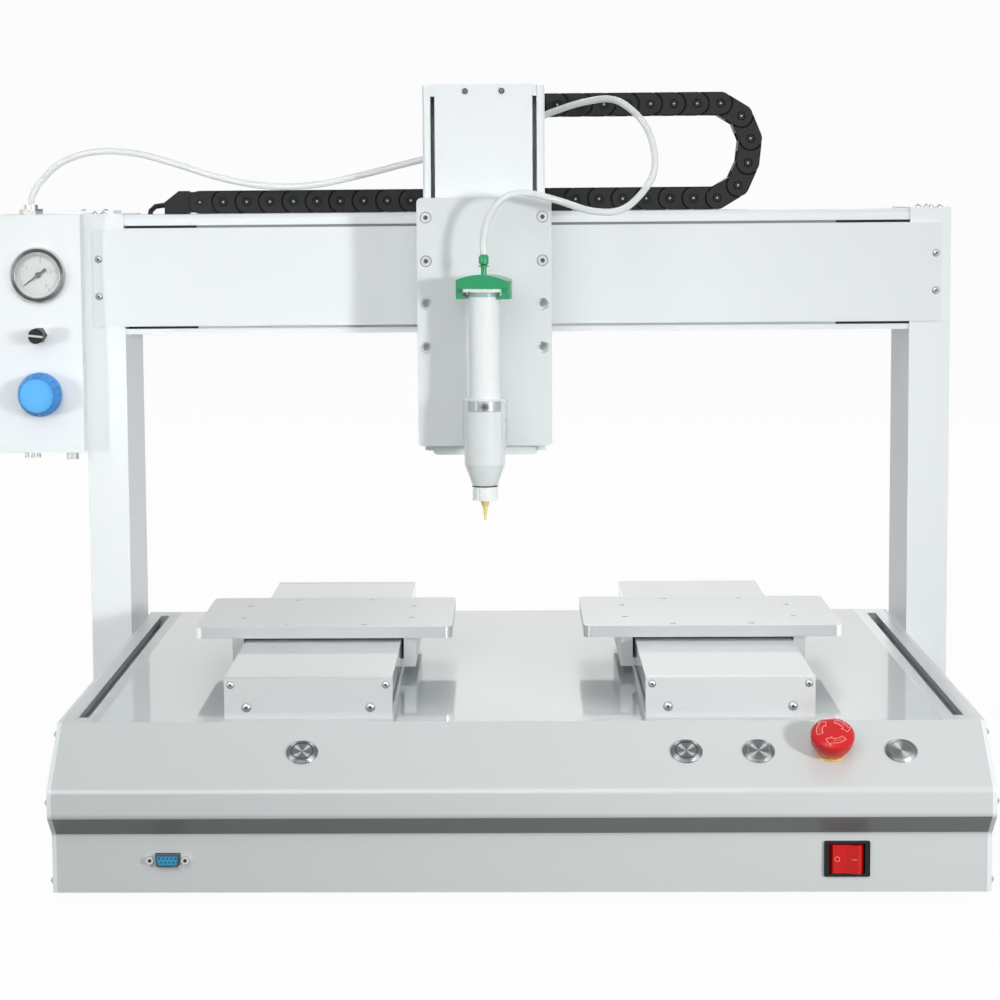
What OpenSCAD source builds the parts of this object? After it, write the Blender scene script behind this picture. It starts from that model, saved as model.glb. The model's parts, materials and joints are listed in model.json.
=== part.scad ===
// Desktop gantry dispensing machine with two Y stations, millimetres.
// Modules draw in machine coordinates: X = 0 at the middle of the cabinet, Y = 0 at the deck's
// front edge, Z = 0 on the deck. at_deck() moves them so that the origin is bottom centre.

/* [Cabinet] */
// Width of the cabinet over its side plates
base_w = 644; // [620:2:760]
// Depth of the deck
deck_d = 514; // [506:2:600]
// Height of the cabinet, underside to deck
base_h = 112.5; // [104:0.5:160]
// How far the nose stands in front of the deck
nose_reach = 54; // [46:0.5:70]
// How far the nose lies below the deck
nose_drop = 37; // [30:0.5:44]
// Height of the nose band
nose_h = 19; // [14:0.5:24]
// How far the fascia lies behind the nose
fascia_inset = 18.7; // [12:0.1:24]
// Thickness of the bent cabinet sheets
sheet_t = 2; // [1.5:0.1:2.5]
// Thickness of the side plates
side_t = 3; // [2:0.1:4]
// Thickness of the deck panel
deck_t = 6; // [4:0.5:8]
// Width of a side rail with its side plate
rail_w = 28; // [26:0.5:36]
// Height of a side rail
rail_h = 30; // [24:1:40]
// Width of the T-slot's mouth
slot_w = 7.4; // [6:0.1:9]
// Height of a foot
foot_h = 8; // [5:0.5:14]
// Diameter of a foot
foot_d = 30; // [20:1:40]

/* [Controls] */
// Places of the four push buttons along X
button_x = [-149.4, 114.5, 163.9, 261.2];
// Place of the emergency stop along X
stop_x = 213.3; // [205:0.1:220]
// Diameter of a button's flange
button_d = 22; // [20:0.5:24]
// Diameter of the emergency stop's head
stop_d = 30; // [26:0.5:34]
// Emergency stop's height over the slope
stop_h = 20; // [18:0.5:24]
// Place of the rocker switch along X
rocker_x = 223.4; // [180:0.1:260]
// Width of the rocker switch's frame
rocker_w = 31.3; // [28:0.1:34]
// Height of the rocker switch's frame
rocker_h = 24.8; // [22:0.1:28]
// Place of the serial socket along X
socket_x = -242.1; // [-270:0.1:-200]

/* [Gantry] */
// Width of a column
col_w = 33; // [28:0.5:45]
// Depth of a column
col_d = 108; // [100:1:118]
// Columns' front faces to the deck's rear edge
col_in = 127; // [122:1:134]
// Height of the columns above the deck
col_h = 350; // [345:1:380]
// Height of the X beam
beam_h = 98.1; // [92:0.1:100]
// Depth of the X beam
beam_d = 91; // [88:1:100]

/* [Z module] */
// Place of the head along X at rest
head_x = -25; // [-40:1:0]
// Width of the Z module
zmod_w = 97; // [95:0.5:102]
// Z module's front to the columns' front faces
zmod_out = 62; // [59:0.5:65]
// Depth of the Z module
zmod_d = 45; // [44:0.5:50]
// Z module's lower end above the deck
zmod_low = 159; // [150:0.5:165]
// Z module's upper end above the deck
zmod_top = 450.3; // [446:0.1:480]

/* [Tool plate] */
// Width of the tool plate
plate_w = 107; // [106:0.5:116]
// Height of the tool plate
plate_h = 197.5; // [194:0.5:215]
// Thickness of the tool plate
plate_t = 10; // [9:0.5:14]
// Tool plate's lower edge above the deck
plate_low = 163.6; // [160:0.1:168]
// Plate's middle to a row of holes
plate_hole_x = 46.3; // [45:0.1:47.5]
// Distance between holes in a row
plate_hole_pitch = 34.5; // [30:0.5:36]
// Diameter of the plate's holes
plate_hole_d = 5; // [4:0.1:6]

/* [Syringe] */
// Outer diameter of the syringe barrel
barrel_d = 25; // [22:0.5:26]
// Wall of the syringe barrel
barrel_wall = 1.3; // [1:0.1:1.8]
// Outer diameter of the holder sleeve
sleeve_d = 32.4; // [31.5:0.1:36]
// Height of the needle's tip above the deck
needle_low = 108.9; // [104:0.1:112]
// Adapter's barbed end above the deck
barb_top = 317; // [314:0.5:322]
// Width of the adapter over its ears
adapter_w = 44; // [41:0.5:50]

/* [Y modules] */
// Cabinet's middle to a Y module's middle
ymod_x = 147.5; // [140:0.5:160]
// Width of a Y module
ymod_w = 118; // [114:0.5:124]
// Height of a Y module
ymod_h = 28.3; // [28:0.1:32]

/* [Tables] */
// Width of a table
table_w = 195; // [180:1:210]
// Depth of a table
table_d = 154; // [150:1:165]
// Thickness of a table
table_t = 8.6; // [6:0.1:12]
// Deck edge to a table's middle at rest
table_y = 256; // [250:1:262]
// Long side of the tapped hole patterns
table_pattern_long = 130; // [128:1:132]
// Short side of the tapped hole patterns
table_pattern_short = 60; // [50:1:80]
// Diameter of a tapped hole
table_hole_d = 5; // [4:0.1:6]

/* [Air box] */
// Width of the air box
box_w = 76; // [72:1:90]
// Depth of the air box
box_d = 100; // [90:1:110]
// Height of the air box
box_h = 195; // [190:1:210]
// Diameter of the gauge
gauge_d = 45.6; // [42:0.2:48]
// How far the gauge stands in front of the box
gauge_out = 6; // [5:0.5:8]
// Top of the box down to the gauge
gauge_down = 49; // [45:0.5:52]
// Top of the box down to the valve knob
valve_down = 98; // [95:0.5:104]
// Top of the box down to the regulator knob
regulator_down = 146.5; // [142:0.5:152]
// Diameter of the regulator knob
regulator_d = 36; // [30:0.5:40]

/* [Energy chain] */
// Distance between the chain's pivots
chain_pitch = 20.2; // [20:0.1:21]
// Height of a link
chain_h = 19; // [18:0.5:19.5]
// Place of the bend's middle along X at rest
bend_x = 160; // [155:1:165]
// Columns' front faces to the chain's middle
chain_in = 63; // [60:0.5:68]

/* [Hidden] */
$fn = 48;

// Smaller sizes
undercut_h = 15.4;
rail_end_front = 18;
rail_end_rear = 22;
control_down = 30;
button_cap_d = 15;
fascia_controls_h = 23.4;
col_wall = 3;
beam_lip = 8.8;
beam_wall = 4.4;
beam_slot = 2.2;
cover_over = 25.5;
zmod_wall = 6.3;
zmod_slot = 3.4;
plate_gap = 3;
plate_hole_top = 15.5;
syringe_out = 40;
sleeve_top = 205;
ymod_inset_front = 12;
ymod_inset_rear = 18;
ymod_base_t = 6.5;
ymod_slot = 8;
table_gap = 1.6;
leg_span = 139.4;
box_proud = 20;
box_t = 1.5;
box_control_x = 3;
gauge_body_r = 19.8;
valve_knob_r = 6.2;
chain_w = 27;

// Clearances
run_gap = 0.4;
shaft_gap = 0.05;
fit_gap = 0.1;

// Cabinet
half_w = base_w / 2;
inner_x = half_w - side_t;
seam_x = half_w - rail_w;
rail_x = (seam_x + inner_x) / 2;
deck_z = foot_h + base_h;
rear_y = deck_d - sheet_t;
slope_a = atan2(nose_drop, nose_reach);
fascia_y = -nose_reach + fascia_inset;
fascia_control_z = -base_h + fascia_controls_h;
bar_d = 14;
bar_h = 24;
tray_z = -base_h + sheet_t;
left_x = half_w + col_w + box_w;
right_x = half_w + col_w;
shift_x = (left_x - right_x) / 2;
shift_y = (nose_reach - deck_d) / 2;

// Front panel outline in Y and Z, from the deck edge down
front_line = [[0, 0], [-nose_reach, -nose_drop], [-nose_reach, -nose_drop - nose_h],
    [fascia_y, -nose_drop - nose_h - undercut_h], [fascia_y, -base_h]];
front_bends = [6, 6, 4];

// Buttons and stop
button_hole_d = 19.2;
button_barrel_d = 19;
button_depth = 24;
button_proud = 2.2;
button_guide_d = 6;
stop_hole_d = 16.4;
stop_barrel_d = 16;
stop_depth = 30;
stop_travel = 4;
stop_stem_d = 10;

// Rocker
rocker_gap = 0.5;
rocker_tilt = 9;
rocker_pin_depth = 3;
rocker_body_w = rocker_w - 8;
rocker_body_h = rocker_h - 5;

// Gantry
col_y = deck_d - col_in;
zmod_y = col_y - zmod_out;
chain_y = col_y + chain_in;
beam_top = col_h - 1;
beam_low = beam_top - beam_h;
beam_front = col_y + 2;
beam_back = beam_front + beam_d;
beam_back_wall = 6;
rail_seat_y = beam_back - beam_back_wall;
cover_t = 2;
cover_low = beam_low + beam_wall + beam_slot;
cover_top = beam_top - beam_lip - beam_slot;
beam_mid = (cover_low + cover_top) / 2;
drive_z = (beam_low + beam_top) / 2;
cover_half = half_w + cover_over;
cover_screw_x = cover_half - 4.5;
cover_screw_dz = 15.2;
col_foot = base_h - 12;
cap_t = 3;

// Linear guides
guide_w = 12;
guide_h = 8;
block_w = 27;
block_h = 11;
block_lift = 2;
x_rail_dz = 30;

// Belts and pulleys
pulley_r = 8;
belt_gap = 0.05;
belt_t = 1.5;
belt_w = 9;
flange_r = 10.2;
flange_t = 0.8;
shaft_r = 2.5;
x_belt_y = col_y + 53;
x_pulley_x = half_w - 19;
x_motor_w = 35;
x_motor_l = 36;
x_motor_y = col_y + 43;
y_belt_x = 24.5;
y_belt_z = ymod_base_t + 2.5;
y_drive_y = deck_d - 40;
y_idler_y = ymod_inset_front + 22;
y_motor_w = 42;
y_motor_l = 40;
pilot_d = 22;

// X carriage
arm_t = 1.4;
carriage_half = 45;
carriage_plate_y = rail_seat_y - guide_h - (block_h - guide_h) - 2;
carriage_t = 8;
arm_low_z = beam_low + beam_wall + beam_slot / 2;
arm_top_z = beam_top - beam_lip - beam_slot / 2;
head_y = zmod_y + zmod_d;

// Z module
zmod_back = 8;
zmod_inner = zmod_w / 2 - zmod_wall;
zcover_half = zmod_inner - zmod_slot;
zcover_t = 2;
z_rail_x = 26;
z_block_w = 20;
screw_y = zmod_y + 19.5;
screw_r = 5;
journal_r = 3;
bottom_cap_low = zmod_low - 3.7;
bottom_cap_top = zmod_low + 9;
top_cap_low = zmod_top - 9.3;
coupling_low = zmod_top - 98.3;
coupling_h = 20;
coupling_r = 9.5;
z_motor_low = coupling_low + coupling_h + 4;
z_motor_w = 28;
z_motor_l = 45;
z_block_low = 240;
z_block_h = 66;
z_arm_t = 2;
z_arm_x = (zmod_inner + zcover_half) / 2;
z_arm_low = 236;
z_arm_h = 116;

// Tool plate and syringe
plate_y = zmod_y - plate_gap - plate_t;
plate_top = plate_low + plate_h;
syringe_y = plate_y - syringe_out;
head_d = 8.5;
head_h = 5;
sleeve_r = sleeve_d / 2;
sleeve_bore_r = barrel_d / 2 + 0.3;
sleeve_low = sleeve_top - 51.6;
cone_low = sleeve_low - 17.1;
cone_r = 9.9;
window_top = sleeve_top - 2;
window_low = window_top - 7.7;
window_w = 25;
nut_h = 11.6;
nut_top = cone_low;
barrel_top = 290.5;
flange_plate_t = 2.4;
needle_top = nut_top - nut_h - 0.4;
collar_h = 4.7;

// Y modules
ymod_y0 = ymod_inset_front;
ymod_y1 = deck_d - ymod_inset_rear;
end_t = 8;
skirt_t = 2;
skirt_low = ymod_base_t + ymod_slot;
leg_t = 9;
leg_inset = 4;
foot_low = ymod_base_t + 0.8;
foot_top = skirt_low - 1;
table_low = ymod_h + table_gap;
table_top = table_low + table_t;
carriage_l = 120;
y_block_l = 36;
wing_in = 37.5;
wing_out = 50;
bridge_t = 4;
bridge_low = ymod_base_t + block_lift + block_h;

// Air box
box_right = -half_w - col_w;
box_mid_x = box_right - box_w / 2;
box_front = col_y - box_proud;
gauge_x = box_mid_x + box_control_x;
gauge_z = col_h - gauge_down;
valve_z = col_h - valve_down;
regulator_z = col_h - regulator_down;
top_fitting_x = box_mid_x - 8;
top_fitting_y = col_y + 18;
top_fitting_h = 8;
knob_shaft_r = 3;
dial_r = 18;

// Energy chain
lower_links = 21;
upper_links = 10;
bend_links = 6;
bend_r = chain_pitch / 2 / sin(90 / bend_links);
chain_low_z = beam_top + chain_h / 2 + 0.3;
chain_top_z = chain_low_z + 2 * bend_r;
chain_fixed_x = bend_x - lower_links * chain_pitch;
chain_moving_x = bend_x - upper_links * chain_pitch;
link_wall = 2.2;
link_gap = 0.3;
link_bar_t = 2;
pin_r = 3.2;
shelf_t = 3;
shelf_top = chain_top_z - chain_h / 2 - 0.1;

// Air tube
tube_d = 5.5;
tube_sides = 8;
rear_route = [[-401, 405, 358], [-399, 405, 367], [-391, 406, 379], [-374, 406, 393],
    [-348, 407, 401], [-316, 408, 400], [-282, 408, 391], [-244, 409, 379], [-207, 410, 372],
    [-170, 410, 372], [-132, 411, 379], [-95, 412, 388], [-66, 412, 395], [-46, 412, 401.5],
    [-30, 412, 407]];
front_route = [[-30, 412, 407], [-15, 412, 412], [6, 412, 420], [33, 410, 431], [58, 401, 438],
    [81, 387, 439], [100, 371, 425], [110, 355, 405], [111, 338, 381], [99, 319, 362],
    [82, 303, 350], [59, 291, 350], [34, 281, 358], [11, 275, 364], [-4, 272, 363],
    [-15, 271, 355], [-22, 272, 343], [-25, 272, 330], [-25, 272, 317]];
clip_at = [chain_moving_x + 12, head_y + 42, shelf_top - 20.2];
clip_tilt = atan2(7, 20);

// Colours
white_paint = [0.92, 0.94, 0.95];
grey_paint = [0.78, 0.80, 0.80];
alloy = [0.80, 0.82, 0.83];
steel = [0.62, 0.64, 0.66];
black = [0.08, 0.08, 0.09];

module at_deck() {
    translate([shift_x, shift_y, deck_z]) children();
}

// A profile drawn in X and Z, run from y0 to y1
module along_y(y0, y1) {
    translate([0, y1, 0]) rotate([90, 0, 0]) linear_extrude(y1 - y0) children();
}

// A profile drawn in Y and Z, run from x0 to x1
module along_x(x0, x1) {
    translate([x0, 0, 0]) rotate([90, 0, 90]) linear_extrude(x1 - x0) children();
}

module up(z) {
    translate([0, 0, z]) children();
}

// A block between two corners
module block(low, high) {
    translate(low) cube(high - low);
}

module both_sides() {
    children();
    mirror([1, 0, 0]) children();
}

module rounded_rect(w, d, r) {
    square([w - 2 * r, d], center = true);
    square([w, d - 2 * r], center = true);
    for (sx = [-1, 1], sy = [-1, 1])
        translate([sx * (w / 2 - r), sy * (d / 2 - r)]) circle(r);
}

// Two round ends joined by straight sides, drawn along X
module stadium(length, r) {
    square([length, 2 * r], center = true);
    for (s = [-1, 1]) translate([s * length / 2, 0]) circle(r);
}

// Arc that rounds the corner b between a and c
function rounded_corner(a, b, c, r, n = 5) = let(
        u = (a - b) / norm(a - b),
        w = (c - b) / norm(c - b),
        half = acos(u * w) / 2,
        centre = b + (u + w) / norm(u + w) * r / sin(half),
        s = b + u * r / tan(half) - centre,
        e = b + w * r / tan(half) - centre,
        a0 = atan2(s.y, s.x),
        sweep = (atan2(e.y, e.x) - a0 + 540) % 360 - 180)
    [for (i = [0:n]) centre + r * [cos(a0 + sweep * i / n), sin(a0 + sweep * i / n)]];

// The line with its inner corners rounded
function bent_line(line, bends) = concat([line[0]],
    [for (i = [1:len(line) - 2])
        each rounded_corner(line[i - 1], line[i], line[i + 1], bends[i - 1])],
    [line[len(line) - 1]]);

// The line moved inward by t, each corner on its mitre
function inner_line(line, t) = let(last = len(line) - 1)
    [for (i = [0:last]) let(
        before = line[i] - line[max(i - 1, 0)],
        after = line[min(i + 1, last)] - line[i],
        u = i == 0 ? after / norm(after) : before / norm(before),
        w = i == last ? u : after / norm(after),
        side = [-u.y, u.x] + [-w.y, w.x])
        i == 0 ? [0, -t / cos(slope_a)] : line[i] + side * 2 * t / (side * side)];

function reversed(list) = [for (i = [len(list) - 1:-1:0]) list[i]];

// A place on the control slope, local Z out of it
module on_slope(x) {
    translate([x, -control_down * cos(slope_a), -control_down * sin(slope_a)])
        rotate([slope_a, 0, 0]) children();
}

// A place on the fascia, local Z pointing forward
module on_fascia(x) {
    translate([x, fascia_y, fascia_control_z]) rotate([90, 0, 0]) children();
}

// A place on the front of the air box, local Z pointing forward
module on_box(z) {
    translate([gauge_x, box_front, z]) rotate([90, 0, 0]) children();
}

module button_screw(r, h, shank_r, shank_l) {
    up(-shank_l) cylinder(r = shank_r, h = shank_l);
    intersection() {
        cylinder(r = r, h = h);
        up(h - r * 1.25) sphere(r * 1.25);
    }
}

// Cabinet

module rail_section() {
    difference() {
        translate([seam_x, -rail_h]) square([inner_x - seam_x, rail_h]);
        translate([rail_x - slot_w / 2, -4]) square([slot_w, 5]);
        translate([rail_x - slot_w, -9]) square([2 * slot_w, 5.5]);
        translate([rail_x - slot_w / 2, -rail_h - 1]) square([slot_w, 5]);
        translate([rail_x - slot_w, -rail_h + 3.5]) square([2 * slot_w, 5.5]);
        translate([rail_x, -rail_h / 2 - 1]) circle(2.4);
    }
}

module base_frame() at_deck() color(alloy) {
    both_sides() {
        along_y(rail_end_front, deck_d - rail_end_rear) rail_section();
        block([seam_x, 0, -rail_h], [inner_x, rail_end_front, 0]);
        block([seam_x, deck_d - rail_end_rear, -rail_h], [inner_x, rear_y, 0]);
        for (y = [3, rear_y - bar_d])
            block([inner_x - 20, y, tray_z], [inner_x, y + bar_d, -rail_h + 0.5]);
    }
    for (y = [3, (ymod_y0 + ymod_y1) / 2, rear_y - bar_d])
        block([-seam_x, y, -deck_t - bar_h], [seam_x, y + bar_d, -deck_t]);
}

module base_tray() at_deck() color(grey_paint) difference() {
    union() {
        block([-inner_x, fascia_y + sheet_t, -base_h], [inner_x, deck_d, tray_z]);
        block([-inner_x, rear_y, -base_h], [inner_x, deck_d, 0]);
    }
    for (side = [-1, 1], i = [-5:5])
        translate([side * 150 + i * 9, deck_d, -base_h / 2])
            cube([3.2, 3 * sheet_t, 46], center = true);
    translate([-inner_x + 70, deck_d, -base_h + 40]) cube([28, 3 * sheet_t, 20], center = true);
    for (i = [-6:6]) translate([i * 12, 200, -base_h]) cube([4, 90, 3 * sheet_t], center = true);
}

module front_panel() at_deck() color(grey_paint) difference() {
    along_x(-inner_x, inner_x) polygon(concat(
        bent_line(front_line, front_bends),
        reversed(bent_line(inner_line(front_line, sheet_t),
            [front_bends[0] - sheet_t, front_bends[1] - sheet_t, front_bends[2] + sheet_t]))));
    for (x = button_x) on_slope(x)
        cylinder(d = button_hole_d, h = 3 * sheet_t, center = true);
    on_slope(stop_x) cylinder(d = stop_hole_d, h = 3 * sheet_t, center = true);
    on_fascia(rocker_x)
        cube([rocker_w - 3, rocker_h - 2, 3 * sheet_t], center = true);
    on_fascia(socket_x) {
        linear_extrude(3 * sheet_t, center = true) socket_outline(0.3);
        for (s = [-1, 1]) translate([s * 12.15, 0])
            cylinder(r = 1.9, h = 3 * sheet_t, center = true);
    }
}

module side_plates() at_deck() color(white_paint) both_sides() difference() {
    along_x(inner_x, half_w) polygon(concat(
        bent_line(front_line, front_bends), [[deck_d, -base_h], [deck_d, 0]]));
    for (p = side_screws) translate([half_w, p.x, p.y]) rotate([0, 90, 0])
        cylinder(r = 1.9, h = 3 * side_t, center = true);
}

module deck_panel() at_deck() color(white_paint) difference() {
    block([-seam_x, 0, -deck_t], [seam_x, rear_y, 0]);
    for (side = [-1, 1]) translate([side * ymod_x + y_belt_x, y_drive_y, 0])
        cylinder(d = pilot_d + 1, h = 3 * deck_t, center = true);
}

module rubber_feet() at_deck() color(black)
    for (sx = [-1, 1], y = [45, deck_d - 45]) translate([sx * (half_w - 50), y, -base_h])
        rotate([180, 0, 0]) difference() {
            cylinder(d1 = foot_d, d2 = foot_d - 4, h = foot_h);
            up(foot_h - 4) cylinder(r = 4.5, h = 5);
        }

// Screw places on a side plate, in Y and Z
side_screws = [[-3, -8], [-nose_reach + 6, -nose_drop - nose_h / 2], [fascia_y + 5.3, -base_h + 7.5],
    [deck_d - 12, -8], [deck_d - 12, -base_h + 7.5]];

module machine_screws() at_deck() color(steel) {
    both_sides() for (p = side_screws) translate([half_w, p.x, p.y]) rotate([0, 90, 0])
        button_screw(3.5, 2, 1.5, side_t);
    for (sx = [-1, 1], dz = [-1, 1])
        translate([sx * cover_screw_x, col_y - cover_t, beam_mid + dz * cover_screw_dz])
            rotate([90, 0, 0]) button_screw(3.2, 1.8, 1.5, cover_t + 4);
    both_sides() for (p = cap_screws)
        translate([half_w + col_w + p.x, col_y + col_d / 2 + p.y, col_h])
            button_screw(3, 2, 1.5, cap_t + 5);
    for (x = [box_right - 7, box_right + col_w / 3])
        translate([x, hanger_y, col_h + hanger_t]) button_screw(4.2, 1.2, 2, hanger_t + 4);
    for (side = [-1, 1], s = [-1, 1], e = [0, 1])
        translate([side * ymod_x, e == 0 ? ymod_y0 : ymod_y1, 0]) {
            translate([s * (ymod_w / 2 - 4.5), 0, ymod_h - 4.3]) rotate([90 + e * 180, 0, 0])
                button_screw(2.9, 1.6, 1, end_t);
            translate([s * (ymod_w / 2 - 15.5), 0, end_screw_z]) rotate([90 + e * 180, 0, 0])
                button_screw(3.6, 1.9, 1.3, end_t);
        }
}

// Gantry

// Cap screw places from the column's outer face and its middle depth
cap_screws = [[-14, -36], [-7, -36], [-14, 36], [-7, 36]];
hanger_t = 2.5;
hanger_y = col_y + 53;
end_screw_z = 8;

module column_section() {
    difference() {
        translate([half_w, col_y]) square([col_w, col_d]);
        for (i = [0:2]) let(room = (col_d - 4 * col_wall) / 3)
            translate([half_w + col_wall, col_y + col_wall + i * (room + col_wall)])
                square([col_w - 2 * col_wall, room]);
    }
    for (p = cap_screws) translate([half_w + col_w + p.x, col_y + col_d / 2 + p.y]) difference() {
        circle(4.4);
        circle(1.6);
    }
}

module columns() at_deck() color(white_paint) difference() {
    both_sides() difference() {
        union() {
            up(-col_foot) linear_extrude(col_foot + col_h - cap_t) column_section();
            translate([half_w, col_y, col_h - cap_t]) cube([col_w, col_d, cap_t]);
        }
        for (dz = [-1, 1])
            translate([cover_screw_x, col_y, beam_mid + dz * cover_screw_dz]) rotate([90, 0, 0])
                cylinder(r = 1.6, h = 20, center = true);
        for (p = cap_screws)
            translate([half_w + col_w + p.x, col_y + col_d / 2 + p.y, col_h])
                cylinder(r = 1.6, h = 20, center = true);
    }
    translate([box_right + col_w / 3, hanger_y, col_h]) cylinder(r = 2.1, h = 20, center = true);
}

module cross_beam() at_deck() color(white_paint) difference() {
    along_x(-half_w, half_w) polygon([[beam_front, beam_low], [beam_back, beam_low],
        [beam_back, beam_top], [beam_front + 3, beam_top], [beam_front, beam_top - 3],
        [beam_front, beam_top - beam_lip], [beam_front + 3, beam_top - beam_lip],
        [beam_front + 3, beam_top - beam_wall], [rail_seat_y, beam_top - beam_wall],
        [rail_seat_y, beam_low + beam_wall], [beam_front, beam_low + beam_wall]]);
    translate([lead_x, chain_y, beam_top]) cylinder(r = lead_r + 0.6, h = 3 * beam_wall, center = true);
}

module beam_cover() at_deck() color(white_paint) difference() {
    block([-cover_half, col_y - cover_t, cover_low], [cover_half, col_y, cover_top]);
    for (sx = [-1, 1], dz = [-1, 1])
        translate([sx * cover_screw_x, col_y, beam_mid + dz * cover_screw_dz])
            rotate([90, 0, 0]) cylinder(r = 1.6, h = 3 * cover_t, center = true);
}

// Rail outline, foot on the X axis, widened by grow on each side
module guide_outline(grow) {
    w = guide_w / 2 + grow;
    polygon([[-w, -grow], [w, -grow], [w, 2.5], [w - 1.2, 3.6], [w - 1.2, 4.8], [w, 5.9],
        [w, guide_h + grow], [-w, guide_h + grow], [-w, 5.9], [-w + 1.2, 4.8], [-w + 1.2, 3.6],
        [-w, 2.5]]);
}

module block_outline(w) {
    difference() {
        translate([-w / 2, block_lift]) square([w, block_h]);
        guide_outline(run_gap);
    }
}

// A guide profile in its place: along X on the beam, along Z on the channel
module along_beam(z, x0, x1) {
    translate([x0, rail_seat_y, z]) rotate([90, 0, 0]) rotate([90, 0, 90])
        linear_extrude(x1 - x0) children();
}

module along_channel(x, z0, z1) {
    translate([x, head_y - zmod_back, z1]) rotate([180, 0, 0])
        linear_extrude(z1 - z0) children();
}

module guide_rails() at_deck() color(steel) {
    for (s = [-1, 1]) along_beam(drive_z + s * x_rail_dz, -x_pulley_x + 3, x_pulley_x - 3)
        guide_outline(0);
    for (side = [-1, 1]) translate([side * ymod_x, 0, ymod_base_t])
        along_y(ymod_y0 + end_t + 1, ymod_y1 - end_t - 1) guide_outline(0);
}

module belt_outline(span) {
    difference() {
        stadium(span, pulley_r + belt_gap + belt_t);
        stadium(span, pulley_r + belt_gap);
    }
}

module drive_belts() at_deck() color(black) {
    up(drive_z) along_y(x_belt_y, x_belt_y + belt_w) belt_outline(2 * x_pulley_x);
    for (side = [-1, 1])
        translate([side * ymod_x + y_belt_x, (y_idler_y + y_drive_y) / 2, y_belt_z])
            rotate([0, 0, 90]) linear_extrude(belt_w) belt_outline(y_drive_y - y_idler_y);
}

// Stepper motor, face at z = 0, body below, shaft hole open at the top
module stepper(w, l, boss_d, boss_h) {
    difference() {
        union() {
            up(-9) linear_extrude(9) rounded_rect(w, w, 4);
            up(-l + 9) linear_extrude(l - 18) rounded_rect(w - 1.5, w - 1.5, 7);
            up(-l) linear_extrude(9) rounded_rect(w, w, 4);
            cylinder(d = boss_d, h = boss_h);
            translate([0, -w / 2 - 2, -l + 5]) cube([16, 6, 8], center = true);
        }
        up(-14) cylinder(r = shaft_r + shaft_gap, h = 20);
        for (sx = [-1, 1], sy = [-1, 1]) translate([sx * w * 0.37, sy * w * 0.37, -5])
            cylinder(r = 1.3, h = 6);
    }
}

module stepper_motors() at_deck() color(black) {
    translate([x_pulley_x, x_motor_y, drive_z]) rotate([-90, 0, 0])
        stepper(x_motor_w, x_motor_l, pilot_d, 2);
    difference() {
        union() {
            block([x_pulley_x - 18, x_motor_y, drive_z - 18], [half_w, x_motor_y + 4, drive_z + 18]);
            block([half_w - 1.4, x_motor_y - 25, drive_z - 18], [half_w, x_motor_y + 4, drive_z + 18]);
        }
        translate([x_pulley_x, x_motor_y, drive_z]) rotate([90, 0, 0])
            cylinder(d = pilot_d + 0.4, h = 12, center = true);
    }
    for (side = [-1, 1]) translate([side * ymod_x + y_belt_x, y_drive_y, -deck_t])
        stepper(y_motor_w, y_motor_l, pilot_d, 2);
    translate([-x_pulley_x, rail_seat_y, drive_z]) rotate([90, 0, 0]) {
        cylinder(r = 5, h = rail_seat_y - x_belt_y - belt_w - 2);
        cylinder(r = shaft_r, h = rail_seat_y - x_belt_y + 1.4);
    }
}

// Toothed pulley along +Z, belt zone from z = 0 to belt_w
module toothed_pulley(bore_r) {
    teeth = 16;
    difference() {
        union() {
            for (z = [-run_gap - flange_t, belt_w + run_gap]) up(z)
                cylinder(r = flange_r, h = flange_t);
            up(-run_gap - 0.01) linear_extrude(belt_w + 2 * run_gap + 0.02)
                polygon([for (i = [0:teeth - 1], k = [0:3]) let(
                    a = (i + [0.05, 0.45, 0.55, 0.95][k]) * 360 / teeth,
                    r = k < 2 ? pulley_r : pulley_r - 0.9)
                    r * [cos(a), sin(a)]]);
        }
        if (bore_r > 0) cylinder(r = bore_r, h = 4 * belt_w, center = true);
    }
}

module drive_pulley(shaft_down) {
    toothed_pulley(0);
    up(-shaft_down) cylinder(r = shaft_r, h = shaft_down);
}

module x_drive_pulley() at_deck() color(steel)
    translate([x_pulley_x, x_belt_y, drive_z]) rotate([-90, 0, 0])
        drive_pulley(x_belt_y - x_motor_y + 12);

module x_idler_pulley() at_deck() color(steel)
    translate([-x_pulley_x, x_belt_y, drive_z]) rotate([-90, 0, 0])
        toothed_pulley(shaft_r + shaft_gap);

module y_drive(side) at_deck() color(steel)
    translate([side * ymod_x + y_belt_x, y_drive_y, y_belt_z])
        drive_pulley(y_belt_z + deck_t + 12);

module y_idler(side) at_deck() color(steel)
    translate([side * ymod_x + y_belt_x, y_idler_y, y_belt_z])
        toothed_pulley(shaft_r + shaft_gap);

// Y modules

module y_bases() at_deck() color(alloy) for (side = [-1, 1]) translate([side * ymod_x, 0, 0]) {
    difference() {
        block([-ymod_w / 2, ymod_y0 + end_t, 0], [ymod_w / 2, ymod_y1 - end_t, ymod_base_t]);
        translate([y_belt_x, y_drive_y, 0])
            cylinder(d = pilot_d + 1, h = 3 * ymod_base_t, center = true);
    }
    translate([y_belt_x, y_idler_y, ymod_base_t - 0.5])
        cylinder(r = shaft_r, h = y_belt_z + belt_w - ymod_base_t + 1.4);
}

module y_covers() at_deck() color(white_paint) for (side = [-1, 1])
    translate([side * ymod_x, 0, 0]) along_y(ymod_y0 + end_t, ymod_y1 - end_t) difference() {
        translate([-ymod_w / 2, skirt_low]) square([ymod_w, ymod_h - skirt_low]);
        translate([-ymod_w / 2 + skirt_t, skirt_low - 1])
            square([ymod_w - 2 * skirt_t, ymod_h - skirt_t - skirt_low + 1]);
    }

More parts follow.
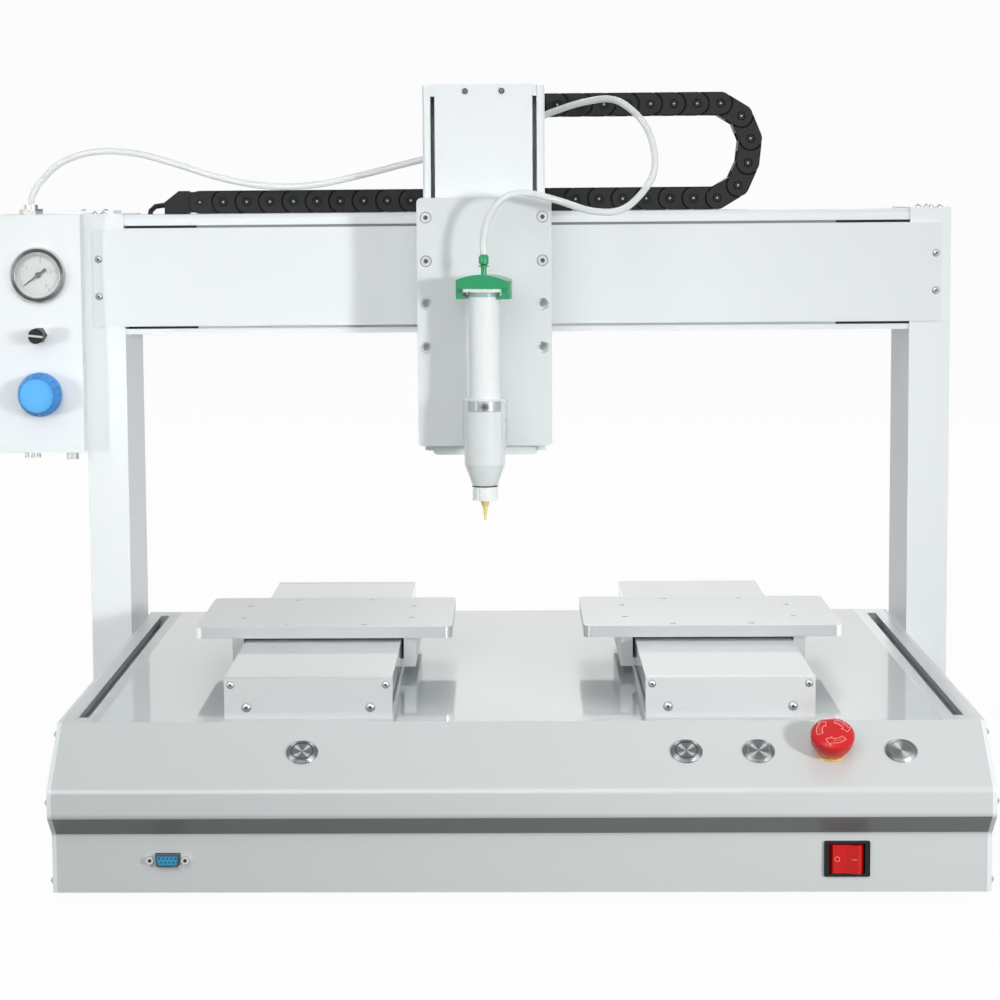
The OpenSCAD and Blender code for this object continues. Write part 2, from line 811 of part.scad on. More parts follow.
module y_end_plates() at_deck() color(alloy) for (side = [-1, 1], y = [ymod_y0, ymod_y1 - end_t])
    translate([side * ymod_x, 0, 0]) difference() {
        block([-ymod_w / 2, y, 0], [ymod_w / 2, y + end_t, ymod_h]);
        for (s = [-1, 1]) {
            translate([s * (ymod_w / 2 - 4.5), y, ymod_h - 4.3]) rotate([90, 0, 0])
                cylinder(r = 1.1, h = 3 * end_t, center = true);
            translate([s * (ymod_w / 2 - 15.5), y, end_screw_z]) rotate([90, 0, 0])
                cylinder(r = 1.4, h = 3 * end_t, center = true);
        }
    }

module y_table(side) at_deck() color(alloy) translate([side * ymod_x, table_y, 0]) {
    difference() {
        union() {
            up(table_low) linear_extrude(table_t) rounded_rect(table_w, table_d, 6);
            both_sides() translate([0, -table_d / 2 + leg_inset, 0]) along_y(0, table_d - 2 * leg_inset)
                polygon([[leg_span / 2, table_low + 1], [leg_span / 2, foot_low],
                    [wing_in, foot_low], [wing_in, foot_top], [leg_span / 2 - leg_t, foot_top],
                    [leg_span / 2 - leg_t, table_low + 1]]);
        }
        for (sx = [-1, 1], sy = [-1, 1]) {
            translate([sx * table_pattern_long / 2, sy * table_pattern_short / 2, table_low - 6])
                cylinder(d = table_hole_d, h = table_t + 7);
            translate([sx * table_pattern_short / 2, sy * table_pattern_long / 2, table_low - 6])
                cylinder(d = table_hole_d, h = table_t + 7);
        }
    }
    l = carriage_l / 2;
    both_sides() block([wing_in, -l, foot_top - 0.5], [wing_out, l, bridge_low + 1]);
    block([-wing_out, -l, bridge_low], [wing_out, l, bridge_low + bridge_t]);
    for (s = [-1, 1]) translate([0, s * (carriage_l / 2 - y_block_l / 2 - 8), ymod_base_t])
        along_y(-y_block_l / 2, y_block_l / 2) block_outline(block_w);
    for (x = [pulley_r + belt_gap - run_gap - 2, pulley_r + belt_gap + belt_t + run_gap])
        block([y_belt_x + x, -12, y_belt_z + 1], [y_belt_x + x + 2, 12, bridge_low + 1]);
}

// Z module and X carriage

module x_carriage() at_deck() color(alloy) translate([head_x, 0, 0]) {
    block([-carriage_half, carriage_plate_y - carriage_t, arm_low_z],
        [carriage_half, carriage_plate_y, arm_top_z]);
    for (z = [arm_low_z, arm_top_z])
        block([-carriage_half, head_y, z - arm_t / 2], [carriage_half, carriage_plate_y, z + arm_t / 2]);
    block([-carriage_half, head_y, arm_low_z], [carriage_half, head_y + carriage_t, arm_top_z]);
    for (s = [-1, 1], sx = [-1, 1])
        along_beam(drive_z + s * x_rail_dz, sx * (carriage_half - 20) - 18, sx * (carriage_half - 20) + 18)
            block_outline(block_w);
    for (z = [pulley_r + belt_gap - run_gap - 2, pulley_r + belt_gap + belt_t + run_gap])
        block([-12, x_belt_y + 1, drive_z + z], [12, carriage_plate_y - carriage_t, drive_z + z + 2]);
}

module z_channel() at_deck() color(white_paint) translate([head_x, 0, 0]) {
    up(zmod_low) linear_extrude(zmod_top - 0.8 - zmod_low) difference() {
        polygon([[-zmod_w / 2, zmod_y + 1.5], [-zmod_w / 2 + 1.5, zmod_y],
            [zmod_w / 2 - 1.5, zmod_y], [zmod_w / 2, zmod_y + 1.5], [zmod_w / 2, head_y],
            [-zmod_w / 2, head_y]]);
        translate([-zmod_inner, zmod_y - 1]) square([2 * zmod_inner, zmod_d - zmod_back + 1]);
    }
    // Lower cap with the screw's bearing
    difference() {
        up(bottom_cap_low) along_y(zmod_y + zcover_t + fit_gap, head_y - zmod_back - fit_gap)
            polygon(concat([[-zmod_inner + fit_gap, bottom_cap_top - bottom_cap_low]],
                rounded_corner([-zmod_inner + fit_gap, 9], [-zmod_inner + fit_gap, 0], [0, 0], 3.5),
                rounded_corner([0, 0], [zmod_inner - fit_gap, 0], [zmod_inner - fit_gap, 9], 3.5),
                [[zmod_inner - fit_gap, bottom_cap_top - bottom_cap_low]]));
        translate([0, screw_y, bottom_cap_low - 1])
            cylinder(r = journal_r + shaft_gap, h = bottom_cap_top - bottom_cap_low + 2);
    }
    // Upper cap, which also closes the slots at the top
    difference() {
        block([-zmod_inner + fit_gap, zmod_y + 0.5, top_cap_low],
            [zmod_inner - fit_gap, head_y - zmod_back - fit_gap, zmod_top - 0.8]);
        block([-zcover_half - fit_gap, zmod_y, top_cap_low - 1],
            [zcover_half + fit_gap, zmod_y + zcover_t + fit_gap, zmod_top]);
        for (s = [-1, 1]) translate([s * 14.5, zmod_y, zmod_top - 5.3]) rotate([90, 0, 0])
            cylinder(r = 1.25, h = 30, center = true);
    }
    for (s = [-1, 1]) {
        along_channel(s * z_rail_x, bottom_cap_top + 1, coupling_low - 2) z_guide_outline(0);
        translate([s * (zmod_w / 2 - 3), zmod_y + 25, zmod_low]) rotate([180, 0, 0])
            button_screw(2.4, 2.4, 1, 0.1);
    }
}

module z_guide_outline(grow) {
    w = 4.5 + grow;
    h = 6 + grow;
    polygon([[-w, -grow - 0.05], [w, -grow - 0.05], [w, 1.8], [w - 0.8, 2.6], [w - 0.8, 3.6],
        [w, 4.4], [w, h], [-w, h], [-w, 4.4], [-w + 0.8, 3.6], [-w + 0.8, 2.6], [-w, 1.8]]);
}

module z_cover() at_deck() color(white_paint) translate([head_x, 0, 0]) {
    difference() {
        block([-zcover_half, zmod_y, zmod_low], [zcover_half, zmod_y + zcover_t, zmod_top]);
        for (s = [-1, 1], z = [zmod_top - 5.3, zmod_low + 4.5])
            translate([s * 14.5, zmod_y, z]) rotate([90, 0, 0])
                cylinder(r = 1.25, h = 3 * zcover_t, center = true);
    }
    for (s = [-1, 1]) translate([s * 14.5, zmod_y, zmod_top - 5.3]) rotate([90, 0, 0])
        button_screw(2.6, 1.2, 1.2, 8);
}

module z_motor() at_deck() color(black) translate([head_x, screw_y, 0]) {
    up(z_motor_low) rotate([180, 0, 90]) stepper(z_motor_w, z_motor_l, 22, 1.5);
    difference() {
        block([-zcover_half + 1, zmod_y + zcover_t + 1 - screw_y, z_motor_low - 3.5],
            [zcover_half - 1, head_y - zmod_back - screw_y, z_motor_low]);
        up(z_motor_low) cylinder(r = 11.2, h = 20, center = true);
    }
}

module ball_screw() at_deck() color(steel) translate([head_x, screw_y, 0]) {
    up(bottom_cap_low + 1) cylinder(r = journal_r, h = bottom_cap_top - bottom_cap_low + 2);
    up(bottom_cap_top + 1) cylinder(r = screw_r, h = coupling_low - bottom_cap_top);
    difference() {
        up(coupling_low) cylinder(r = coupling_r, h = coupling_h);
        for (i = [-1:1]) up(coupling_low + coupling_h / 2 + i * 4)
            difference() {
                cylinder(r = coupling_r + 1, h = 1.4, center = true);
                cylinder(r = coupling_r - 3, h = 2, center = true);
            }
    }
    up(coupling_low + coupling_h - 1) cylinder(r = shaft_r, h = 13);
}

module z_carriage() at_deck() color(alloy) translate([head_x, 0, 0]) {
    difference() {
        union() {
            block([-z_arm_x - z_arm_t / 2, zmod_y + zcover_t + 1.5, z_block_low],
                [z_arm_x + z_arm_t / 2, head_y - zmod_back - 10, z_block_low + z_block_h]);
            block([-13, zmod_y + 20, z_block_low], [13, head_y - zmod_back - 4.5, z_block_low + z_block_h]);
        }
        translate([0, screw_y, z_block_low - 1]) cylinder(r = screw_r + shaft_gap, h = z_block_h + 2);
    }
    for (s = [-1, 1]) along_channel(s * z_rail_x, z_block_low + 4, z_block_low + z_block_h - 4)
        difference() {
            translate([-z_block_w / 2, 1.5]) square([z_block_w, 9]);
            z_guide_outline(run_gap);
        }
    both_sides() difference() {
        union() {
            block([z_arm_x - z_arm_t / 2, zmod_y - plate_gap, z_arm_low],
                [z_arm_x + z_arm_t / 2, zmod_y + 20, z_arm_low + z_arm_h]);
            block([z_arm_x - z_arm_t / 2, zmod_y - plate_gap, z_arm_low],
                [plate_w / 2 - 1.5, zmod_y - 1, z_arm_low + z_arm_h]);
        }
        for (i = [0, 1])
            translate([plate_hole_x, zmod_y, plate_top - plate_hole_top - i * plate_hole_pitch])
                rotate([90, 0, 0]) cylinder(d = plate_hole_d, h = 20, center = true);
    }
}

module tool_plate() at_deck() color(alloy) translate([head_x, plate_y, 0]) difference() {
    translate([0, plate_t, plate_low + plate_h / 2]) rotate([90, 0, 0])
        linear_extrude(plate_t) rounded_rect(plate_w, plate_h, 4);
    for (s = [-1, 1], i = [0:3])
        translate([s * plate_hole_x, 0, plate_top - plate_hole_top - i * plate_hole_pitch])
            rotate([-90, 0, 0]) {
                up(-1) cylinder(d = plate_hole_d, h = plate_t + 2);
                up(-1) cylinder(d = head_d + 0.7, h = head_h + 1.5);
            }
    for (s = [-1, 1]) translate([s * bracket_screw_x, plate_t, bracket_z]) rotate([90, 0, 0])
        cylinder(r = 1.6, h = plate_t + 1);
}

module socket_screw(l) {
    difference() {
        union() {
            cylinder(d = head_d, h = head_h);
            up(-l) cylinder(d = plate_hole_d - 2 * fit_gap, h = l + 1);
        }
        up(head_h - 2.5) cylinder(d = 4.6, h = 4, $fn = 6);
    }
}

module plate_screws() at_deck() color(steel) translate([head_x, plate_y, 0]) {
    for (s = [-1, 1], i = [0, 1])
        translate([s * plate_hole_x, head_h + 0.5, plate_top - plate_hole_top - i * plate_hole_pitch])
            rotate([90, 0, 0]) socket_screw(plate_t + plate_gap - head_h - 1.6);
    for (s = [-1, 1]) translate([s * bracket_screw_x, -bracket_base_t, bracket_z]) rotate([90, 0, 0])
        button_screw(2.9, 1.6, 1.5, bracket_base_t + 5);
    translate([0, -syringe_out - sleeve_r + 0.6, (window_low + window_top) / 2]) rotate([90, 0, 0])
        difference() {
            cylinder(d = 7, h = 2.4);
            up(1) cylinder(d = 3.6, h = 2, $fn = 6);
        }
}

// Syringe and its holder

bracket_z = 185;
bracket_w = 36;
bracket_h = 30;
bracket_base_t = 5;
bracket_screw_x = 13.5;
bracket_arm_w = 16;

module at_syringe() {
    translate([head_x, syringe_y, 0]) children();
}

module holder_bracket() at_deck() color(alloy) at_syringe() {
    difference() {
        union() {
            block([-bracket_w / 2, syringe_out - bracket_base_t, bracket_z - bracket_h / 2],
                [bracket_w / 2, syringe_out, bracket_z + bracket_h / 2]);
            block([-bracket_arm_w / 2, sleeve_r - 3, bracket_z - bracket_h / 2],
                [bracket_arm_w / 2, syringe_out, bracket_z + bracket_h / 2]);
        }
        up(bracket_z - 50) cylinder(r = sleeve_r, h = 100);
        for (s = [-1, 1]) translate([s * bracket_screw_x, syringe_out, bracket_z]) rotate([90, 0, 0])
            cylinder(r = 1.6, h = 30, center = true);
    }
    // Clamp pad in the sleeve's window
    intersection() {
        up(window_low + 0.2) difference() {
            cylinder(r = sleeve_r - 0.6, h = window_top - window_low - 0.4);
            up(-1) cylinder(d = barrel_d, h = 20);
        }
        block([-window_w / 2 + 0.2, -sleeve_r, window_low], [window_w / 2 - 0.2, 0, window_top]);
    }
}

module holder_sleeve() at_deck() color([0.93, 0.95, 0.96]) at_syringe() difference() {
    rotate_extrude() polygon([[sleeve_bore_r, sleeve_top], [sleeve_r - 0.8, sleeve_top],
        [sleeve_r, sleeve_top - 0.8], [sleeve_r, sleeve_low], [cone_r, cone_low],
        [cone_r - 2.6, cone_low], [sleeve_bore_r, sleeve_low - 1]]);
    block([-window_w / 2, -sleeve_r - 1, window_low], [window_w / 2, 0, window_top]);
}

module syringe_barrel() at_deck() color([0.90, 0.93, 0.94]) at_syringe() {
    rotate_extrude() polygon([[barrel_d / 2 - barrel_wall, barrel_top], [barrel_d / 2, barrel_top],
        [barrel_d / 2, sleeve_low - 1.9], [cone_r - 2.26, cone_low + 1], [3.4, cone_low + 1],
        [3.4, nut_top - 5], [1.5, nut_top - 5], [1.5, cone_low + 3],
        [barrel_d / 2 - barrel_wall, sleeve_low + 2]]);
    // Piston that follows the fluid
    up(sleeve_low + 62) cylinder(r = barrel_d / 2 - barrel_wall - fit_gap, h = 14);
    // Flange wings under the adapter's ears
    rotate([0, 0, adapter_turn]) intersection() {
        up(barrel_top - flange_plate_t) difference() {
            cylinder(r = adapter_w / 2 - 4.6, h = flange_plate_t);
            up(-1) cylinder(r = barrel_d / 2 - 0.2, h = 5);
        }
        cube([adapter_w, barrel_d, 2 * barrel_top + 2], center = true);
    }
    // Clear nut round the needle's hub
    up(nut_top - nut_h) difference() {
        cylinder(r = cone_r, h = nut_h);
        up(-1) cylinder(r = 3.4, h = nut_h + 2);
        for (i = [0:11]) rotate([0, 0, i * 30]) translate([cone_r + 0.4, 0, -1])
            cylinder(r = 0.9, h = nut_h + 2, $fn = 16);
    }
}

adapter_turn = -18;
ear_w = 13;
bar_low = barrel_top;
bar_top = bar_low + 5;
plug_h = 8;
stem_r = 2.2;
bulb_r = 3.9;

module adapter_cap() at_deck() color([0.05, 0.62, 0.42]) at_syringe() rotate([0, 0, adapter_turn]) {
    // Bar across the barrel, its ears and their hooks
    difference() {
        union() {
            intersection() {
                up(bar_low) cylinder(r = adapter_w / 2, h = 12);
                translate([-adapter_w, -ear_w / 2 - 3, bar_low]) cube([2 * adapter_w, ear_w + 6, 12]);
                up(bar_top - 44) rotate([90, 0, 0])
                    cylinder(r = 50, h = 60, center = true, $fn = 96);
            }
            for (s = [-1, 1]) intersection() {
                difference() {
                    up(bar_low - 8) cylinder(r = adapter_w / 2, h = 9);
                    up(bar_low - 9) cylinder(r = adapter_w / 2 - 4, h = 9);
                }
                translate([s * adapter_w / 2, 0, bar_low]) cube([20, ear_w, 20], center = true);
            }
            for (s = [-1, 1]) intersection() {
                up(bar_low - 8) difference() {
                    cylinder(r = adapter_w / 2, h = 3);
                    up(-1) cylinder(r = barrel_d / 2 + 2.5, h = 5);
                }
                translate([s * adapter_w / 2, 0, bar_low]) cube([20, ear_w, 20], center = true);
            }
        }
    }
    // Plug in the barrel, stem and barbed end
    rotate_extrude() polygon([[0, bar_low - plug_h], [barrel_d / 2 - barrel_wall - 0.4, bar_low - plug_h],
        [barrel_d / 2 - barrel_wall - 0.4, bar_low + 0.5], [7.5, bar_low + 0.5], [7.5, bar_low + 6.5],
        [stem_r, bar_low + 8.5], [stem_r, barb_top - 9.8], [stem_r + 2.1, barb_top - 9.4],
        [stem_r + 2.1, barb_top - 8.4], [stem_r, barb_top - 8.2], [bulb_r, barb_top - 7],
        [bulb_r, barb_top - 2], [tube_d / 2, barb_top], [0, barb_top]]);
}

module needle_tip() at_deck() color([0.90, 0.74, 0.25]) at_syringe() rotate_extrude()
    polygon([[1, needle_top + 4], [3.4, needle_top + 4], [3.4, needle_top + 0.4],
        [3.6, needle_top + 0.4], [3.6, needle_top - 1.5],
        [2.2, needle_top - collar_h], [2, needle_top - collar_h - 0.6], [0.75, needle_low],
        [0.4, needle_low], [0.5, needle_low + 6], [1, needle_top - collar_h]]);

// Air box, gauge and knobs

module valve_box() at_deck() color(white_paint) {
    difference() {
        block([box_right - box_w, box_front, col_h - box_h], [box_right, box_front + box_d, col_h]);
        block([box_right - box_w + box_t, box_front + box_t, col_h - box_h + box_t],
            [box_right - box_t, box_front + box_d + 1, col_h - box_t]);
        on_box(gauge_z) cylinder(r = gauge_body_r + fit_gap, h = 4 * box_t, center = true);
        on_box(valve_z) cylinder(r = 5.2, h = 4 * box_t, center = true);
        on_box(regulator_z) cylinder(r = 9.2, h = 4 * box_t, center = true);
        translate([top_fitting_x, top_fitting_y, col_h]) cylinder(r = 5.1, h = 4 * box_t, center = true);
        for (x = fitting_xs) translate([box_mid_x + x.x, box_front + 12, col_h - box_h])
            cylinder(r = x.y - 0.6, h = 4 * box_t, center = true);
        translate([box_right - 7, hanger_y, col_h]) cylinder(r = 2.1, h = 4 * box_t, center = true);
    }
    block([box_right - box_w + 0.5, box_front + box_d - box_t, col_h - box_h + 0.5],
        [box_right - 0.5, box_front + box_d, col_h - 0.5]);
    difference() {
        block([box_right - 27, hanger_y - 25, col_h], [box_right + 21, hanger_y + 25, col_h + hanger_t]);
        for (x = [box_right - 7, box_right + col_w / 3]) translate([x, hanger_y, col_h])
            cylinder(r = 2.1, h = 20, center = true);
    }
}

// Lower fittings: X from the box's middle, radius, length
fitting_xs = [[-12, 1.8, 4.8], [-7, 1.8, 4.8], [-2, 1.8, 4.8], [26, 5, 6.2]];

module air_fittings() at_deck() color([0.72, 0.72, 0.70]) {
    // Upper fitting that holds the air tube
    translate([top_fitting_x, top_fitting_y, col_h]) {
        up(-8) cylinder(r = 5, h = 9);
        cylinder(r = 9.8, h = 4.5, $fn = 6);
        up(4.4) cylinder(r = 6, h = top_fitting_h - 4.4);
    }
    for (x = fitting_xs) translate([box_mid_x + x.x, box_front + 12, col_h - box_h]) {
        up(-x.z) cylinder(r = x.y, h = x.z);
        up(-0.5) cylinder(r = x.y - 0.8, h = 12);
    }
    // Suck-back valve with its bushing and nut
    on_box(valve_z) difference() {
        union() {
            up(-30) cylinder(r = 10, h = 30 - box_t);
            cylinder(r = 5, h = 6);
            up(-box_t - 0.5) cylinder(r = 5, h = box_t + 1);
            cylinder(r = 6.7, h = 3.4, $fn = 6);
        }
        up(-12) cylinder(r = knob_shaft_r + shaft_gap, h = 30);
    }
    // Regulator body behind the panel
    on_box(regulator_z) difference() {
        union() {
            up(-46) cylinder(r = 19, h = 46 - box_t);
            up(-box_t - 0.5) cylinder(r = 9, h = box_t + 2.6);
        }
        up(-16) cylinder(r = knob_shaft_r + shaft_gap, h = 30);
    }
    // Solenoid valve on the rear cover
    translate([box_mid_x, box_front + box_d - box_t, col_h - 55]) {
        block([-13, -26, -20], [13, 0, 12]);
        block([-9, -22, -46], [9, -4, -20]);
    }
}

module gauge_case() at_deck() color(black) on_box(gauge_z) {
    difference() {
        union() {
            rotate_extrude() polygon([[0, -24], [gauge_body_r, -24], [gauge_body_r, 0], [gauge_d / 2, 0],
                [gauge_d / 2, gauge_out - 1], [gauge_d / 2 - 1, gauge_out], [dial_r + 0.2, gauge_out],
                [dial_r + 0.2, gauge_out - 1.5], [dial_r + 1.2, gauge_out - 1.5],
                [dial_r + 1.2, gauge_out - 6], [0, gauge_out - 6]]);
            up(-38) cylinder(r = 7, h = 16);
        }
        up(gauge_out - 10.5) cylinder(r = 1.05, h = 10);
    }
}

module gauge_lens() at_deck() color([0.9, 0.95, 0.97, 0.35]) on_box(gauge_z)
    up(gauge_out - 3) cylinder(r = dial_r + 1.2, h = 1.5);

module gauge_pointer() at_deck() color(black) on_box(gauge_z) {
    up(gauge_out - 10) cylinder(r = 1, h = 5.5);
    up(gauge_out - 5.4) cylinder(r = 2.4, h = 1.8);
    rotate([0, 0, 216]) up(gauge_out - 5) linear_extrude(0.8)
        polygon([[-8, -1.4], [-4, -1.1], [dial_r - 4, -0.35], [dial_r - 3.4, 0], [dial_r - 4, 0.35],
            [-4, 1.1], [-8, 1.4]]);
}

module regulator_knob() at_deck() color([0.25, 0.58, 0.88]) on_box(regulator_z) {
    difference() {
        union() {
            up(3) cylinder(r = regulator_d / 2, h = 5);
            up(8) cylinder(r1 = regulator_d / 2, r2 = regulator_d / 2 - 3, h = 13);
            up(21) cylinder(r1 = regulator_d / 2 - 3, r2 = regulator_d / 2 - 4.5, h = 2);
        }
        for (i = [0:17]) rotate([0, 0, i * 20]) translate([regulator_d / 2 + 0.2, 0, 9])
            rotate([0, -13, 0]) cylinder(r = 1.5, h = 20, $fn = 16);
    }
    up(22.9) cylinder(r = regulator_d / 2 - 6, h = 1.4);
    up(-14) cylinder(r = knob_shaft_r, h = 18);
}

module valve_knob() at_deck() color(black) on_box(valve_z) {
    difference() {
        union() {
            up(6.4) cylinder(r = valve_knob_r, h = 14.4);
            up(20.8) cylinder(r1 = valve_knob_r, r2 = valve_knob_r - 0.7, h = 0.8);
        }
        rotate([0, 0, -6]) up(20.8) cube([20, 1.8, 5], center = true);
        for (i = [0:23]) rotate([0, 0, i * 15]) translate([valve_knob_r + 0.3, 0, 7.5])
            cylinder(r = 0.6, h = 11, $fn = 12);
    }
    up(-10) cylinder(r = knob_shaft_r, h = 17);
}

// Controls

module control_bezels() at_deck() color(steel) {
    for (x = button_x) on_slope(x) difference() {
        union() {
            rotate_extrude() polygon([[0, 0], [button_d / 2, 0], [button_d / 2, 0.8],
                [button_d / 2 - 1.6, button_proud], [0, button_proud]]);
            up(-button_depth) cylinder(d = button_barrel_d, h = button_depth + 1);
            up(-sheet_t - 3) cylinder(d = button_barrel_d + 6, h = 3, $fn = 6);
        }
        up(-4) cylinder(d = button_cap_d + 0.8, h = 10);
        up(-button_depth + 4) cylinder(d = button_guide_d + 0.2, h = 40);
    }
    on_slope(stop_x) difference() {
        union() {
            cylinder(d = stop_barrel_d + 4.6, h = 2);
            cylinder(d = stop_barrel_d + 1, h = stop_h - 7.8);
            up(-stop_depth) cylinder(d = stop_barrel_d, h = stop_depth + 0.5);
            up(-sheet_t - 4) cylinder(d = stop_barrel_d + 7, h = 4, $fn = 6);
            translate([-14, -14, -stop_depth - 18]) cube([28, 28, 18.1]);
        }
        up(-stop_depth + 6) cylinder(d = stop_stem_d + 0.2, h = 60);
    }
    on_fascia(rocker_x) {
        difference() {
            union() {
                linear_extrude(2) rounded_rect(rocker_w, rocker_h, 1.2);
                up(-14) linear_extrude(14.1)
                    square([rocker_w - 3.4, rocker_h - 2.4], center = true);
            }
            up(-12) linear_extrude(20)
                square([rocker_body_w + 2 * rocker_gap, rocker_body_h + 2 * rocker_gap], center = true);
            up(-rocker_pin_depth) rotate([90, 0, 0])
                cylinder(r = 1.5 + shaft_gap, h = rocker_body_h + 2.2, center = true);
        }
    }
}

module push_button(i) at_deck() color(steel) on_slope(button_x[i]) {
    difference() {
        up(-1.6) cylinder(d = button_cap_d, h = button_proud + 1.4);
        up(button_proud - 0.9)
            cylinder(r1 = button_cap_d / 2 - 3.4, r2 = button_cap_d / 2 - 0.9, h = 0.9);
    }
    up(-16) cylinder(d = button_guide_d, h = 15);
}

module stop_head() at_deck() color([0.85, 0.10, 0.10]) on_slope(stop_x) {
    low_r = stop_barrel_d / 2 + 1;
    rotate_extrude() polygon([[0, stop_h - 3], [low_r, stop_h - 3], [low_r, stop_h - 12.5],
        [low_r + 1.6, stop_h - 12.5], [stop_d / 2, stop_h - 6.2], [stop_d / 2, stop_h - 3.6],
        [stop_d / 2 - 0.9, stop_h - 1.9], [stop_d / 2 - 3, stop_h - 0.7], [stop_d / 2 - 7, stop_h],
        [0, stop_h]]);
    up(-stop_depth + 6 + stop_travel + 1)
        cylinder(d = stop_stem_d, h = stop_depth + stop_h - stop_travel - 9);
}

module rocker() at_deck() color([0.85, 0.08, 0.08]) on_fascia(rocker_x)
    up(-rocker_pin_depth) rotate([0, -rocker_tilt, 0]) {
        intersection() {
            rotate([90, 0, 0]) cylinder(d = rocker_body_w, h = rocker_body_h, center = true);
            rotate([90, 0, 0]) linear_extrude(rocker_body_h, center = true)
                polygon([[-20, -5], [20, -5], [20, 9.4], [0, 6.2], [-20, 9.4]]);
        }
        rotate([90, 0, 0]) cylinder(r = 1.5, h = rocker_body_h + 2, center = true);
    }

module socket_outline(grow) {
    polygon([[-8.4 - grow, 4.2 + grow], [8.4 + grow, 4.2 + grow], [7.3 + grow, -4.2 - grow],
        [-7.3 - grow, -4.2 - grow]]);
}

module panel_sockets() at_deck() color(steel) {
    on_fascia(socket_x) {
        difference() {
            union() {
                linear_extrude(5) socket_outline(0);
                up(-sheet_t - 1.2) linear_extrude(1.2) square([31, 12.5], center = true);
                up(-sheet_t - 1) linear_extrude(sheet_t + 2) socket_outline(0);
            }
            up(2.5) linear_extrude(4) socket_outline(-0.7);
            for (i = [0:8]) translate([(i < 5 ? i - 2 : i - 6.5) * 2.75, i < 5 ? 1.4 : -1.4, -2])
                cylinder(r = 0.6, h = 8, $fn = 16);
        }
        for (s = [-1, 1]) translate([s * 12.15, 0, -sheet_t - 0.5]) {
            cylinder(r = 1.5, h = sheet_t + 1);
            up(sheet_t + 0.5) cylinder(r = 2.75, h = 4.5, $fn = 6);
        }
    }
    // Mains inlet in the rear panel
    translate([-inner_x + 70, deck_d, -base_h + 40]) rotate([-90, 0, 0]) difference() {
        up(-20) linear_extrude(20) rounded_rect(28, 20, 0.5);
        up(-15) linear_extrude(20) rounded_rect(24, 16, 3);
    }
}

module electronics() at_deck() color([0.55, 0.57, 0.58]) {
    // Power supply
    translate([152 - half_w, deck_d - 184, tray_z]) difference() {
        translate([-108, -58, 0]) cube([215, 115, 50]);
        for (i = [-8:8]) translate([i * 11, 0, 50]) cube([5, 70, 6], center = true);
    }
    // Motion control board on its spacers
    translate([half_w - 192, deck_d - 264, tray_z]) {
        for (sx = [-1, 1], sy = [-1, 1]) translate([sx * 90, sy * 60, 0]) cylinder(r = 4, h = 8.1);
        translate([-98, -68, 8]) cube([196, 136, 1.6]);
        for (i = [-3:3]) translate([i * 26 - 8, -62, 9.5]) cube([18, 12, 12]);
        for (i = [-1:1]) translate([i * 55, 20, 9.5]) difference() {
            translate([-20, -20, 0]) cube([40, 40, 18]);
            for (k = [-3:3]) translate([k * 5 - 1.2, -21, 5]) cube([2.4, 42, 20]);
        }
    }
}

// Energy chain

// One link, from its pivot at the origin along X
module chain_link() {
    r = chain_h / 2;
    inner_r = r - 0.9;
    outer_y = chain_w / 2;
    step_y = outer_y - link_wall;
    inner_y = step_y - link_gap - link_wall;
    difference() {
        union() {
            for (s = [-1, 1]) {
                translate([0, s > 0 ? outer_y : -step_y, 0]) rotate([90, 0, 0]) linear_extrude(link_wall) {
                    circle(r);
                    translate([0, -r]) square([chain_pitch - r - link_gap, chain_h]);
                }
                translate([0, s > 0 ? step_y - link_gap : -inner_y, 0]) rotate([90, 0, 0])
                    linear_extrude(link_wall) {
                        translate([chain_pitch, 0]) circle(inner_r);
                        translate([inner_r + link_gap, -inner_r])
                            square([chain_pitch - inner_r - link_gap, 2 * inner_r]);
                    }
                block([inner_r + link_gap, s > 0 ? inner_y : -outer_y, -r],
                    [chain_pitch - r - link_gap, s > 0 ? outer_y : -inner_y, r]);
                translate([chain_pitch, s > 0 ? outer_y : -inner_y, 0]) rotate([90, 0, 0])
                    cylinder(r = pin_r, h = outer_y - inner_y);
            }
            for (z = [-r, r - link_bar_t])
                block([inner_r + link_gap, -inner_y - 0.5, z],
                    [chain_pitch - 3, inner_y + 0.5, z + link_bar_t]);
        }
        rotate([90, 0, 0]) cylinder(r = pin_r + fit_gap, h = 2 * chain_w, center = true);
        for (s = [-1, 1]) translate([chain_pitch, s * outer_y, 0]) rotate([90, 0, 0])
            cylinder(r = 1, h = 1.2, center = true);
    }
}

module link_at(x, z, angle) {
    translate([x, chain_y, z]) rotate([0, -angle, 0]) chain_link();
}

module chain_lower() at_deck() color(black) for (i = [0:lower_links - 1])
    link_at(chain_fixed_x + i * chain_pitch, chain_low_z, 0);

module chain_bend() at_deck() color(black) for (i = [0:bend_links - 1])
    let(step = 180 / bend_links, a = -90 + i * step)
        link_at(bend_x + bend_r * cos(a), (chain_low_z + chain_top_z) / 2 + bend_r * sin(a),
            (i + 0.5) * step);

module chain_upper() at_deck() color(black) for (i = [0:upper_links - 1])
    link_at(bend_x - i * chain_pitch, chain_top_z, 180);

lead_r = 2.2;
anchor_l = 30;
lead_x = chain_fixed_x - anchor_l - 14;
lead_route = [[-14, 356], [-32, 356.5], [-39, 355.5], [-43, 352], [-44, 347], [-44, 342]];

